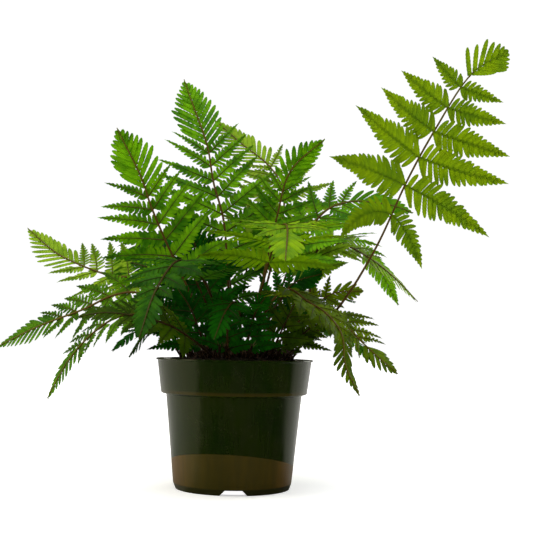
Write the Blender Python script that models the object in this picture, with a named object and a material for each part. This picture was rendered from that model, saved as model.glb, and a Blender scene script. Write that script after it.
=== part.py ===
"""Potted autumn fern: a nursery pot, its soil, and the fronds that arch out of it.

Sizes are in millimetres, and turn into metres where a mesh is made. The pot stands on
z = 0 with its axis on Z, and the plant's front faces -Y.

Each frond is one closed body: a stipe and rachis of three-sided section, with a thin pinna
on each side of every pair, whose leaflets are cut to its rib, and a leafy tip. A pinna
that would cross another one, a rachis or the pot is turned or shortened until it is clear.
"""

import math
import random
from dataclasses import dataclass

import bmesh
import bpy
from mathutils import Matrix, Vector
from mathutils.bvhtree import BVHTree

MM = 0.001
UP = Vector((0.0, 0.0, 1.0))

# Nursery pot
RIM_RADIUS = 76.0
RIM_HEIGHT = 123.6
RIM_LIP = 1.8
COLLAR_TOP_RADIUS = 74.5
COLLAR_BOTTOM_RADIUS = 70.6
COLLAR_BOTTOM = 90.6
SHOULDER_DROP = 1.3
BODY_TOP_RADIUS = 65.6
BODY_LOW_RADIUS = 57.0
BEVEL_HEIGHT = 5.5
FOOT_RADIUS = 55.2
FOOT_WIDTH = 2.4
FLOOR_HEIGHT = 6.0
WALL = 1.5
LIP_WALL = 2.6
POT_SEGMENTS = 30
NOTCH_BOTTOM = 26.0
NOTCH_TOP = 16.0
NOTCH_HEIGHT = 5.0
NOTCH_TURN = -87.0
DRAIN_RADIUS = 6.0
DRAIN_CIRCLE = 36.0
DRAIN_SIDES = 8
SHARP_ANGLE = 25.0

# Soil
SOIL_GAP = 0.35
SOIL_EDGE = 119.5
SOIL_CROWN = 126.0
SOIL_RINGS = (52.0, 26.0)
SOIL_BUMP = 1.3
SOIL_SEED = 5
HOLE_SIDES = 5
HOLE_GAP = 0.8
STIPE_SINK = 14.0
HOLE_SINK = 16.0

# Fronds
STIPE_RADIUS = 1.5
TIP_RADIUS = 0.55
STIPE_STEP = 40.0
CURVE_STEPS = 24
FACE_SHARE = 0.6
PAIR_CROWDING = 1.25
SPINE_PARTS = 6
ROOT_HALF = 1.4
ROOT_REACH = 0.6
BUD_LENGTH = 3.0
RIB_HALF = 0.6
RIB_TIP_HALF = 0.35
NOTCH_OFFSET = 0.9
SLIM_NOTCH = 0.15
BLUNT_FROM = 9.4
APEX_FULLNESS = 1.5
BLADE_TAPER = 1.2
APEX_TAPER = 1.1
LOBE_PITCH = 13.0
LOBE_LEANS = (0.62, 0.42, 0.22)
LOBE_ROOM = 3.0
LEAFLET_SLANT = (0.45, 0.6)
FROND_SEED = 40
PINNA_WIDTH = 0.52
PINNA_ROOM = 1.45
PINNA_TWIST = 17.0
ANGLE_CLOSING = 14.0
PINNA_CURVE = 0.25
HANG_TURN = 7.0
NEAR_POINTS = 14
LEAFLET_CLEAR = 0.3
CLEARANCE = 0.7
POT_CLEAR_RADIUS = 79.5
POT_CLEAR_HEIGHT = 129.0
FLOOR_CLEAR = 2.0

# Turns tried on a pinna that isn't clear: lift and swing in degrees, then its length
CLEARING_TURNS = [
    (0, 0), (9, 0), (-9, 0), (18, 0), (-18, 0), (0, -12), (12, -12), (-12, -12),
    (28, 0), (-28, 0), (24, -14), (-24, -14), (40, 0), (-40, 0), (40, -16), (-40, -16),
    (55, -10), (-55, -10),
]
CLEARING_LENGTHS = (1.0, 0.8, 0.62, 0.45, 0.3, 0.2)


@dataclass
class Frond:
    """One frond. Its path starts at the soil, and its upper side faces along face midway.

    first is where the pairs start, as a share of the length, and reach is the longest
    pinna. lift turns the left and right pinnae up out of the frond's plane, and hang
    lets the lowest pairs droop. low is the size of the lowest pair, and a higher
    taper keeps the frond broad for longer. apex is the share of the length that is one
    lobed blade, above the last pair.
    """

    name: str
    path: list
    face: tuple
    pairs: int = 8
    first: float = 0.36
    reach: float = 60.0
    lobes: int = 3
    angle: float = 72.0
    lift: tuple = (8.0, 8.0)
    droop: float = 0.35
    hang: float = 0.3
    low: float = 0.88
    taper: float = 1.3
    apex: float = 0.25


FRONDS = [
    Frond(
        "frond_right_long",
        [(47, 0, 121), (95, -20, 170), (129, -50, 227), (156, -72, 290), (179, -86, 335),
         (208, -98, 382), (240, -108, 402)],
        face=(0.5, 0.82, 0.3),
        pairs=6, first=0.50, reach=91.0, low=0.64, taper=1.8, lobes=5, angle=90.0,
        droop=0.15, hang=1.9, apex=0.10,
    ),
    Frond(
        "frond_centre_tall",
        [(-2, 8, 123), (-8, 14, 190), (-14, 18, 257), (-26, 25, 300), (-34, 32, 340),
         (-52, 40, 388), (-60, 45, 410)],
        face=(0.1, -0.9, 0.35),
        pairs=7, first=0.36, reach=84.0, lobes=4, angle=62.0, droop=0.3,
    ),
    Frond(
        "frond_left_upper",
        [(-20, -7, 123), (-39, -22, 176), (-66, -38, 233), (-80, -45, 265), (-90, -52, 293),
         (-108, -60, 328), (-112, -62, 336)],
        face=(-0.35, -0.65, 0.6),
        pairs=6, first=0.38, reach=73.0, lobes=4, angle=64.0, droop=0.5,
    ),
    Frond(
        "frond_front_light",
        [(8, -12, 124), (22, -24, 180), (34, -52, 225), (42, -98, 243), (46, -145, 236),
         (44, -188, 206)],
        face=(0.0, -0.3, 0.9),
        pairs=6, first=0.38, reach=80.0, lobes=4, angle=76.0, droop=0.3, apex=0.16,
    ),
    Frond(
        "frond_left_back",
        [(-17, 25, 123), (-60, 45, 178), (-105, 65, 202), (-136, 78, 207), (-169, 90, 218),
         (-200, 100, 233), (-232, 110, 259)],
        face=(0.1, -0.75, 0.65),
        pairs=6, first=0.34, reach=70.0, lobes=3, angle=68.0, droop=0.1,
    ),
    Frond(
        "frond_right_low",
        [(30, -7, 124), (60, -22, 160), (82, -35, 168), (99, -45, 161), (126, -55, 135),
         (151, -62, 114)],
        face=(0.25, -0.6, 0.75),
        pairs=6, first=0.36, reach=50.0, lobes=3, angle=64.0, droop=0.35,
    ),
    Frond(
        "frond_left_low",
        [(-24, 6, 123), (-60, 8, 168), (-95, 10, 186), (-123, 12, 183), (-152, 16, 169),
         (-196, 22, 152), (-241, 32, 130)],
        face=(-0.1, -0.75, 0.65),
        pairs=6, first=0.34, reach=54.0, lobes=3, angle=56.0, droop=0.2,
    ),
    Frond(
        "frond_front_right",
        [(17, -26, 123), (28, -45, 166), (47, -70, 189), (67, -90, 177), (83, -105, 166),
         (95, -117, 148), (98, -124, 122), (110, -132, 97)],
        face=(0.5, -0.45, 0.6),
        pairs=6, first=0.34, reach=46.0, lobes=3, angle=64.0, droop=0.4,
    ),
    Frond(
        "frond_right_mid",
        [(26, 9, 124), (50, 14, 210), (80, 18, 265), (110, 20, 282), (150, 20, 280),
         (175, 18, 272)],
        face=(0.0, -0.65, 0.75),
        pairs=6, first=0.40, reach=62.0, lobes=3, angle=68.0, droop=0.35,
    ),
    Frond(
        "frond_right_light",
        [(40, 10, 122), (70, 10, 180), (77, 14, 228), (100, 20, 240), (130, 27, 228),
         (160, 32, 206), (183, 37, 184)],
        face=(0.2, -0.5, 0.85),
        pairs=6, first=0.38, reach=50.0, lobes=3, angle=66.0, droop=0.35,
    ),
    Frond(
        "frond_back_pale",
        [(12, 20, 124), (30, 40, 200), (45, 62, 270), (44, 82, 305), (28, 98, 332),
         (0, 112, 356), (-32, 122, 385)],
        face=(0.1, -0.6, 0.75),
        pairs=7, first=0.40, reach=76.0, lobes=2, angle=72.0, droop=0.3,
    ),
    Frond(
        "frond_left_drooping",
        [(-28, -20, 123), (-65, -38, 158), (-101, -50, 163), (-128, -55, 147),
         (-150, -62, 120), (-167, -70, 85)],
        face=(-0.4, -0.5, 0.8),
        pairs=6, first=0.32, reach=44.0, lobes=3, angle=64.0, droop=0.5,
    ),
    Frond(
        "frond_front_left",
        [(-4, -24, 123), (-24, -60, 188), (-45, -115, 210), (-60, -168, 182),
         (-68, -209, 142)],
        face=(-0.15, -0.45, 0.8),
        pairs=6, first=0.36, reach=60.0, lobes=3, angle=70.0, droop=0.3, apex=0.18,
    ),
    Frond(
        "frond_front_olive",
        [(-16, -33, 122), (-36, -50, 140), (-63, -72, 156), (-107, -92, 164),
         (-135, -102, 160)],
        face=(-0.1, -0.6, 0.78),
        pairs=5, first=0.30, reach=46.0, lobes=2, angle=64.0, droop=0.3,
    ),
    Frond(
        "frond_top_right",
        [(8, 3, 125), (25, 10, 200), (38, 16, 262), (51, 18, 311), (85, 12, 344)],
        face=(0.1, -0.9, 0.35),
        pairs=5, first=0.50, reach=46.0, lobes=3, angle=60.0, droop=0.2,
    ),
    Frond(
        "frond_back_long",
        [(0, 34, 123), (10, 80, 230), (20, 134, 282), (25, 184, 264), (28, 212, 220)],
        face=(0.0, 0.5, 0.8),
        pairs=6, first=0.34, reach=72.0, lobes=2, angle=74.0, droop=0.3,
    ),
    Frond(
        "frond_back_left",
        [(-11, 34, 123), (-50, 80, 220), (-90, 125, 256), (-125, 160, 236),
         (-150, 188, 195)],
        face=(-0.3, 0.3, 0.8),
        pairs=6, first=0.36, reach=64.0, lobes=2, angle=72.0, droop=0.35,
    ),
    Frond(
        "frond_back_right",
        [(22, 30, 123), (60, 75, 215), (105, 118, 255), (150, 152, 232), (182, 176, 185)],
        face=(0.3, 0.3, 0.8),
        pairs=6, first=0.36, reach=64.0, lobes=2, angle=72.0, droop=0.35,
    ),
    Frond(
        "frond_back_low",
        [(-4, 46, 121), (-12, 85, 165), (-22, 130, 172), (-30, 165, 145), (-34, 185, 112)],
        face=(0.0, 0.65, 0.6),
        pairs=5, first=0.34, reach=48.0, lobes=2, angle=66.0, droop=0.35,
    ),
    Frond(
        "frond_inner_left",
        [(-10, -2, 124), (-30, -12, 180), (-54, -14, 220), (-86, -10, 238)],
        face=(-0.1, -0.6, 0.8),
        pairs=5, first=0.34, reach=52.0, lobes=2, angle=66.0,
    ),
    Frond(
        "frond_inner_right",
        [(19, -9, 124), (34, -14, 165), (54, -22, 196), (82, -34, 206)],
        face=(0.1, -0.6, 0.8),
        pairs=4, first=0.34, reach=50.0, lobes=2, angle=66.0,
    ),
    Frond(
        "frond_inner_upright",
        [(-13, 7, 124), (-28, 8, 190), (-44, 6, 240), (-62, 2, 266)],
        face=(-0.2, -0.7, 0.6),
        pairs=5, first=0.36, reach=50.0, lobes=2, angle=66.0,
    ),
    Frond(
        "frond_inner_front",
        [(6, -24, 123), (6, -50, 158), (2, -82, 176), (-6, -112, 166), (-14, -134, 142)],
        face=(0.0, -0.3, 0.95),
        pairs=5, first=0.30, reach=48.0, lobes=2, angle=66.0, apex=0.2,
    ),
    Frond(
        "frond_inner_back",
        [(2, 22, 124), (-6, 44, 186), (-12, 76, 224), (-16, 110, 232), (-18, 140, 218)],
        face=(0.0, 0.1, 1.0),
        pairs=5, first=0.34, reach=54.0, lobes=2, angle=68.0,
    ),
    Frond(
        "frond_inner_back_left",
        [(-11, 16, 124), (-30, 42, 168), (-56, 70, 186), (-86, 98, 180)],
        face=(-0.1, -0.2, 1.0),
        pairs=4, first=0.32, reach=46.0, lobes=2, angle=66.0,
    ),
    Frond(
        "frond_inner_back_right",
        [(26, 20, 124), (56, 42, 170), (90, 62, 190), (124, 78, 184)],
        face=(0.1, -0.2, 1.0),
        pairs=5, first=0.32, reach=46.0, lobes=2, angle=66.0,
    ),
    Frond(
        "frond_side_left",
        [(-31, 17, 122), (-62, 40, 150), (-98, 62, 152), (-132, 80, 128)],
        face=(-0.3, 0.2, 0.95),
        pairs=5, first=0.32, reach=40.0, lobes=2, angle=64.0,
    ),
    Frond(
        "frond_side_right",
        [(38, 26, 122), (76, 50, 152), (114, 74, 148), (146, 94, 120)],
        face=(0.3, 0.2, 0.95),
        pairs=5, first=0.32, reach=42.0, lobes=2, angle=64.0,
    ),
    Frond(
        "frond_rim_left",
        [(-38, -8, 122), (-57, -25, 150), (-77, -35, 152), (-98, -42, 124)],
        face=(-0.5, -0.3, 0.8),
        pairs=3, first=0.38, reach=32.0, lobes=2, angle=62.0,
    ),
    Frond(
        "frond_low_left",
        [(-25, -29, 122), (-32, -36, 148), (-42, -43, 172), (-54, -49, 190)],
        face=(-0.3, -0.8, 0.45),
        pairs=4, first=0.20, reach=44.0, lobes=2, angle=68.0, droop=0.35,
    ),
    Frond(
        "frond_low_front",
        [(-6, -38, 121), (-6, -48, 146), (-8, -57, 166), (-12, -66, 182)],
        face=(-0.1, -0.85, 0.45),
        pairs=4, first=0.20, reach=42.0, lobes=2, angle=68.0, droop=0.35,
    ),
    Frond(
        "frond_low_centre",
        [(11, -36, 122), (14, -46, 146), (20, -54, 168), (30, -58, 184)],
        face=(0.1, -0.85, 0.45),
        pairs=4, first=0.20, reach=40.0, lobes=2, angle=68.0, droop=0.35,
    ),
    Frond(
        "frond_low_right",
        [(33, -24, 122), (42, -34, 146), (52, -41, 168), (62, -44, 188)],
        face=(0.2, -0.8, 0.45),
        pairs=4, first=0.20, reach=42.0, lobes=2, angle=68.0, droop=0.35,
    ),
    Frond(
        "frond_low_side_left",
        [(-45, 8, 121), (-54, 6, 146), (-66, 2, 166), (-80, -3, 180)],
        face=(-0.2, -0.75, 0.5),
        pairs=4, first=0.24, reach=42.0, lobes=2, angle=66.0,
    ),
    Frond(
        "frond_low_side_right",
        [(50, -14, 121), (60, -22, 142), (74, -28, 156), (90, -32, 160)],
        face=(0.2, -0.6, 0.7),
        pairs=4, first=0.24, reach=40.0, lobes=2, angle=66.0,
    ),
    Frond(
        "frond_low_back_left",
        [(-24, 24, 123), (-50, 32, 172), (-80, 42, 208), (-112, 54, 220)],
        face=(-0.2, -0.7, 0.7),
        pairs=4, first=0.30, reach=46.0, lobes=2, angle=66.0,
    ),
    Frond(
        "frond_low_back_right",
        [(46, 16, 121), (66, 14, 162), (92, 6, 188), (124, -4, 192)],
        face=(0.2, -0.7, 0.7),
        pairs=4, first=0.30, reach=42.0, lobes=2, angle=66.0,
    ),
]


def remove_scene_objects():
    for thing in list(bpy.data.objects):
        bpy.data.objects.remove(thing, do_unlink=True)


def make_material(name, colour, roughness):
    material = bpy.data.materials.new(name)
    material.use_nodes = True
    shader = material.node_tree.nodes["Principled BSDF"]
    shader.inputs["Base Color"].default_value = (*colour, 1.0)
    shader.inputs["Roughness"].default_value = roughness
    shader.inputs["Metallic"].default_value = 0.0
    material.diffuse_color = (*colour, 1.0)
    return material


def make_object(name, points, faces, material):
    """An object from points in millimetres."""
    mesh = bpy.data.meshes.new(name)
    mesh.from_pydata([Vector(point) * MM for point in points], [], faces)
    mesh.update()
    thing = bpy.data.objects.new(name, mesh)
    bpy.context.scene.collection.objects.link(thing)
    if material:
        mesh.materials.append(material)
    return thing


def revolved(profile, segments, lump=None):
    """Points and faces of a profile turned round Z, from the axis below to the axis above."""
    points = [(0.0, 0.0, profile[0][1])]
    for radius, height in profile[1:-1]:
        for step in range(segments):
            turn = math.tau * step / segments
            raised = height + (lump(radius, turn) if lump else 0.0)
            points.append((radius * math.cos(turn), radius * math.sin(turn), raised))
    points.append((0.0, 0.0, profile[-1][1]))
    last = len(points) - 1
    faces = []
    for step in range(segments):
        after = (step + 1) % segments
        faces.append((0, 1 + after, 1 + step))
        for ring in range(len(profile) - 3):
            low = 1 + ring * segments
            high = low + segments
            faces.append((low + step, low + after, high + after, high + step))
        top = 1 + (len(profile) - 3) * segments
        faces.append((top + step, top + after, last))
    return points, faces


def cut_away(thing, cutters, name):
    """Subtracts the cutters from an object with one exact Boolean."""
    collection = bpy.data.collections.new(name)
    bpy.context.scene.collection.children.link(collection)
    for cutter in cutters:
        bpy.context.scene.collection.objects.unlink(cutter)
        collection.objects.link(cutter)
        cutter.hide_render = True
        cutter.display_type = "WIRE"
    boolean = thing.modifiers.new(name, "BOOLEAN")
    boolean.operation = "DIFFERENCE"
    boolean.solver = "EXACT"
    boolean.operand_type = "COLLECTION"
    boolean.collection = collection


def prism(name, corners, start, end):
    """A closed prism: a convex outline of points swept from start to end."""
    count = len(corners)
    points = [corner + start for corner in corners] + [corner + end for corner in corners]
    faces = [tuple(reversed(range(count))), tuple(range(count, 2 * count))]
    for step in range(count):
        after = (step + 1) % count
        faces.append((step, after, count + after, count + step))
    thing = make_object(name, points, faces, None)
    face_outwards(thing)
    return thing


def face_outwards(thing):
    work = bmesh.new()
    work.from_mesh(thing.data)
    bmesh.ops.recalc_face_normals(work, faces=work.faces)
    work.to_mesh(thing.data)
    work.free()


def collar_inner_radius(height):
    """The inner radius of the pot's collar at a height."""
    share = (height - COLLAR_BOTTOM) / (RIM_HEIGHT - RIM_LIP - COLLAR_BOTTOM)
    return COLLAR_BOTTOM_RADIUS + (COLLAR_TOP_RADIUS - COLLAR_BOTTOM_RADIUS) * share - WALL


def make_pot(material):
    shoulder = COLLAR_BOTTOM - SHOULDER_DROP
    inner_shoulder = COLLAR_BOTTOM + WALL
    profile = [
        (0.0, FLOOR_HEIGHT),
        (FOOT_RADIUS - FOOT_WIDTH, FLOOR_HEIGHT),
        (FOOT_RADIUS - FOOT_WIDTH, 0.0),
        (FOOT_RADIUS, 0.0),
        (BODY_LOW_RADIUS, BEVEL_HEIGHT),
        (BODY_TOP_RADIUS, shoulder),
        (COLLAR_BOTTOM_RADIUS, COLLAR_BOTTOM),
        (COLLAR_TOP_RADIUS, RIM_HEIGHT - RIM_LIP),
        (RIM_RADIUS, RIM_HEIGHT - RIM_LIP + 0.4),
        (RIM_RADIUS, RIM_HEIGHT),
        (RIM_RADIUS - LIP_WALL, RIM_HEIGHT),
        (collar_inner_radius(inner_shoulder), inner_shoulder),
        (BODY_TOP_RADIUS - WALL, inner_shoulder - SHOULDER_DROP),
        (BODY_LOW_RADIUS - WALL, FLOOR_HEIGHT + WALL),
        (0.0, FLOOR_HEIGHT + WALL),
    ]
    points, faces = revolved(profile, POT_SEGMENTS)
    pot = make_object("nursery_pot", points, faces, material)
    pot.data.shade_smooth()
    pot.data.set_sharp_from_angle(angle=math.radians(SHARP_ANGLE))
    cutters = []
    for quarter in range(4):
        turn = Matrix.Rotation(math.radians(NOTCH_TURN + 90.0 * quarter), 4, "Z")
        outline = [
            (0.0, -NOTCH_BOTTOM / 2 - 0.8, -1.0),
            (0.0, NOTCH_BOTTOM / 2 + 0.8, -1.0),
            (0.0, NOTCH_TOP / 2, NOTCH_HEIGHT),
            (0.0, -NOTCH_TOP / 2, NOTCH_HEIGHT),
        ]
        corners = [turn @ Vector(corner) for corner in outline]
        inner = turn @ Vector((FOOT_RADIUS - 8.0, 0.0, 0.0))
        outer = turn @ Vector((FOOT_RADIUS + 6.0, 0.0, 0.0))
        cutters.append(prism(f"notch_cutter_{quarter + 1}", corners, inner, outer))
    drains = [(0.0, 0.0)]
    for quarter in range(4):
        turn = math.radians(45.0 + 90.0 * quarter)
        drains.append((DRAIN_CIRCLE * math.cos(turn), DRAIN_CIRCLE * math.sin(turn)))
    for number, (x, y) in enumerate(drains):
        corners = []
        for step in range(DRAIN_SIDES):
            turn = math.tau * step / DRAIN_SIDES
            corners.append(
                Vector((x + DRAIN_RADIUS * math.cos(turn), y + DRAIN_RADIUS * math.sin(turn), 0))
            )
        low = UP * (FLOOR_HEIGHT - 2.0)
        high = UP * (FLOOR_HEIGHT + WALL + 0.2)
        cutters.append(prism(f"drain_cutter_{number + 1}", corners, low, high))
    cut_away(pot, cutters, "pot_cuts")
    return pot


def make_soil(routes, material):
    """The soil: parallel to the pot's inside, lumpy on top, with a hole for each stipe."""
    draw = random.Random(SOIL_SEED)
    lumps = {}

    def lump(radius, turn):
        if radius not in SOIL_RINGS:
            return 0.0
        key = (radius, round(turn, 4))
        if key not in lumps:
            lumps[key] = draw.uniform(-SOIL_BUMP, SOIL_BUMP)
        return lumps[key]

    inner_shoulder = COLLAR_BOTTOM + WALL
    edge_radius = collar_inner_radius(SOIL_EDGE) - SOIL_GAP
    profile = [
        (0.0, FLOOR_HEIGHT + WALL + SOIL_GAP),
        (BODY_LOW_RADIUS - WALL - SOIL_GAP, FLOOR_HEIGHT + WALL + SOIL_GAP),
        (BODY_TOP_RADIUS - WALL - SOIL_GAP, inner_shoulder - SHOULDER_DROP + SOIL_GAP),
        (collar_inner_radius(inner_shoulder) - SOIL_GAP, inner_shoulder + SOIL_GAP),
        (edge_radius, SOIL_EDGE),
    ]
    for radius in SOIL_RINGS:
        share = 1.0 - (radius / edge_radius) ** 2
        profile.append((radius, SOIL_EDGE + (SOIL_CROWN - SOIL_EDGE) * share))
    profile.append((0.0, SOIL_CROWN))
    points, faces = revolved(profile, POT_SEGMENTS, lump)
    soil = make_object("potting_soil", points, faces, material)
    cutters = []
    for frond, route in routes.items():
        right, over = route.frame(0.0)[1:]
        corners = []
        for step in range(HOLE_SIDES):
            turn = math.tau * step / HOLE_SIDES
            reach = STIPE_RADIUS + HOLE_GAP
            corners.append((right * math.cos(turn) + over * math.sin(turn)) * reach)
        low = route.at(-HOLE_SINK)
        high = route.at(0.0) + (route.at(0.0) - low) * 0.5
        cutters.append(prism(f"hole_cutter_{frond}", corners, low, high))
    cut_away(soil, cutters, "stipe_holes")
    return soil


class Route:
    """A smooth curve through a frond's points, measured by its length from the soil."""

    def __init__(self, frond):
        self.frond = frond
        points = [Vector(point) for point in frond.path]
        points = [points[0] * 2 - points[1]] + points + [points[-1] * 2 - points[-2]]
        self.points = [points[1]]
        for before, start, end, after in zip(points, points[1:], points[2:], points[3:]):
            for step in range(1, CURVE_STEPS + 1):
                t = step / CURVE_STEPS
                self.points.append(
                    0.5
                    * (
                        2 * start
                        + (end - before) * t
                        + (2 * before - 5 * start + 4 * end - after) * t**2
                        + (3 * start - before - 3 * end + after) * t**3
                    )
                )
        self.marks = [0.0]
        for start, end in zip(self.points, self.points[1:]):
            self.marks.append(self.marks[-1] + (end - start).length)
        self.length = self.marks[-1]
        middle = self.step_at(FACE_SHARE * self.length)[0]
        self.overs = [None] * len(self.points)
        self.overs[middle] = self.upright(Vector(frond.face), self.marks[middle])
        for step in range(middle + 1, len(self.points)):
            self.overs[step] = self.upright(self.overs[step - 1], self.marks[step])
        for step in range(middle - 1, -1, -1):
            self.overs[step] = self.upright(self.overs[step + 1], self.marks[step])

    def step_at(self, mark):
        """The step of the curve that a mark falls in, and how far along that step it is."""
        for step in range(1, len(self.marks)):
            if mark <= self.marks[step]:
                break
        span = self.marks[step] - self.marks[step - 1]
        return step, (mark - self.marks[step - 1]) / span

    def at(self, mark):
        step, share = self.step_at(mark)
        return self.points[step - 1].lerp(self.points[step], share)

    def along(self, mark):
        return (self.at(mark + 2.0) - self.at(mark - 2.0)).normalized()

    def upright(self, over, mark):
        """The part of a direction that is square to the growth at a mark."""
        along = self.along(mark)
        return (over - along * over.dot(along)).normalized()

    def frame(self, mark):
        """The direction of growth, the right-hand side and the upper side at a mark."""
        step, share = self.step_at(mark)
        share = min(1.0, max(0.0, share))
        over = self.upright(self.overs[step - 1].lerp(self.overs[step], share), mark)
        along = self.along(mark)
        return along, along.cross(over), over

    def radius(self, mark):
        share = min(1.0, max(0.0, mark / self.length))
        return STIPE_RADIUS + (TIP_RADIUS - STIPE_RADIUS) * share

    def apex_start(self):
        return self.length * (1.0 - self.frond.apex)

    def fullness(self, mark):
        """How long a pinna at a mark is, as a share of the longest."""
        start = self.length * self.frond.first
        share = (mark - start) / (self.length - start)
        return min(1.0, self.frond.low + 2.5 * share) * (1.0 - share**self.frond.taper)

    def pair_marks(self):
        """Where the pairs of pinnae stand, closer together towards the tip."""
        start = self.length * self.frond.first
        end = self.apex_start()
        marks = []
        for pair in range(self.frond.pairs):
            share = 1.0 - (1.0 - pair / self.frond.pairs) ** PAIR_CROWDING
            marks.append(start + (end - start) * share)
        return marks


def stretch_faces(ring):
    """The six side faces of a three-sided stretch, from one ring to the next."""
    low, high = 3 * ring, 3 * ring + 3
    faces = []
    for corner in range(3):
        after = (corner + 1) % 3
        faces.append((low + corner, low + after, high + after))
        faces.append((low + corner, high + after, high + corner))
    return faces


class Rachis:
    """The rings of a stipe and rachis, each over, right and left, and where pairs root."""

    def __init__(self, route, grow=0.0):
        pairs = route.pair_marks()
        marks = [-STIPE_SINK]
        steps = max(3, round(pairs[0] / STIPE_STEP))
        for step in range(steps):
            marks.append((pairs[0] - ROOT_HALF) * step / steps)
        self.first = len(marks)
        marks.extend(mark - ROOT_HALF for mark in pairs)
        marks.append(route.apex_start())
        self.rings = []
        for mark in marks:
            centre = route.at(mark)
            along, right, over = route.frame(mark)
            radius = route.radius(mark) + grow
            low = centre - over * (radius * 0.5)
            self.rings.append([centre + over * radius, low + right * radius, low - right * radius])
        self.marks = marks
        self.route = route

    def roots(self, pair, side):
        """The root points of a pinna: both ends on the edge, and the rib above and below."""
        start = self.first + pair
        span = self.marks[start + 1] - self.marks[start]
        edge = 1 if side > 0 else 2
        low = self.rings[start][edge]
        high = low.lerp(self.rings[start + 1][edge], 2 * ROOT_HALF / span)
        along, right, over = self.route.frame(self.marks[start] + ROOT_HALF)
        rib = low.lerp(high, 0.5) + right * (side * ROOT_REACH)
        above, below = rib + over * RIB_HALF, rib - over * RIB_HALF
        return [low, high, above, below] if side > 0 else [high, low, above, below]

    def tube(self):
        """The points and side faces of the rachis, six triangles between two rings."""
        points = [point for ring in self.rings for point in ring]
        faces = []
        for ring in range(len(self.rings) - 1):
            faces += stretch_faces(ring)
        return points, faces


@dataclass
class Pinna:
    """One pinna as it grows: side is 1 on the right and -1 on the left."""

    mark: float
    pair: int
    side: int
    length: float
    width: float
    lobes: int
    angle: float
    lift: float
    droop: float


def pinnae_of(route, draw):
    """The pinnae of a frond, two to a pair, each a little different."""
    frond = route.frond
    marks = route.pair_marks()
    end = route.apex_start()
    pinnae = []
    for pair, mark in enumerate(marks):
        share = pair / frond.pairs
        after = marks[pair + 1] if pair + 1 < len(marks) else end
        before = marks[pair - 1] if pair else 2 * mark - after
        room = 0.5 * (after - before)
        size = route.fullness(mark)
        hang = frond.hang * max(0.0, 1.0 - 5.0 * share)
        for side in (-1, 1):
            length = frond.reach * size * draw.uniform(0.94, 1.04)
            angle = frond.angle - ANGLE_CLOSING * share + HANG_TURN * hang + draw.uniform(-4.0, 4.0)
            most = PINNA_ROOM * room * math.sin(math.radians(angle))
            width = min(PINNA_WIDTH * length, most)
            lift = frond.lift[0 if side < 0 else 1] + draw.uniform(-6.0, 6.0)
            lobes = max(1, round(frond.lobes * length / frond.reach))
            droop = frond.droop + hang + draw.uniform(-0.08, 0.08)
            pinnae.append(Pinna(mark, pair, side, length, width, lobes, angle, lift, droop))
    return pinnae


def half_width(width, share, taper=BLADE_TAPER):
    """Half the width of a blade along its rib: full low down, drawn out at the tip."""
    return 0.5 * width * min(1.0, 0.74 + 1.4 * share) * (1.0 - share**taper)


def pinna_spine(route, pinna, root, turn, length, steps):
    """The rib of a pinna from its root: places, with the frame of the blade at each."""
    along, right, over = route.frame(pinna.mark)
    lift, swing = turn
    angle = math.radians(pinna.angle + swing)
    tilt = math.radians(pinna.lift + lift)
    start = along * math.cos(angle)
    start += (right * (pinna.side * math.cos(tilt)) + over * math.sin(tilt)) * math.sin(angle)
    twist = math.radians(PINNA_TWIST)
    turned = over * math.cos(twist) + along * math.sin(twist)
    spine = []
    place = root.copy()
    for part in range(steps * SPINE_PARTS + 1):
        share = part / (steps * SPINE_PARTS)
        bend = along * (PINNA_CURVE * share) - UP * (pinna.droop * share)
        growth = (start + bend).normalized()
        if part:
            place = place + growth * (length / (steps * SPINE_PARTS))
        if part % SPINE_PARTS == 0:
            top = (turned - growth * turned.dot(growth)).normalized()
            spine.append((share, place, growth, top.cross(growth), top))
    return spine


def tip_spine(route, steps):
    """The rib of the leafy tip that ends a frond."""
    start = route.apex_start()
    spine = []
    for step in range(steps + 1):
        share = step / steps
        mark = start + (route.length - start) * share
        along, right, over = route.frame(mark)
        spine.append((share, route.at(mark), along, -right, over))
    return spine


def tip_width(route):
    return APEX_FULLNESS * route.frond.reach * route.fullness(route.apex_start())


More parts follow.
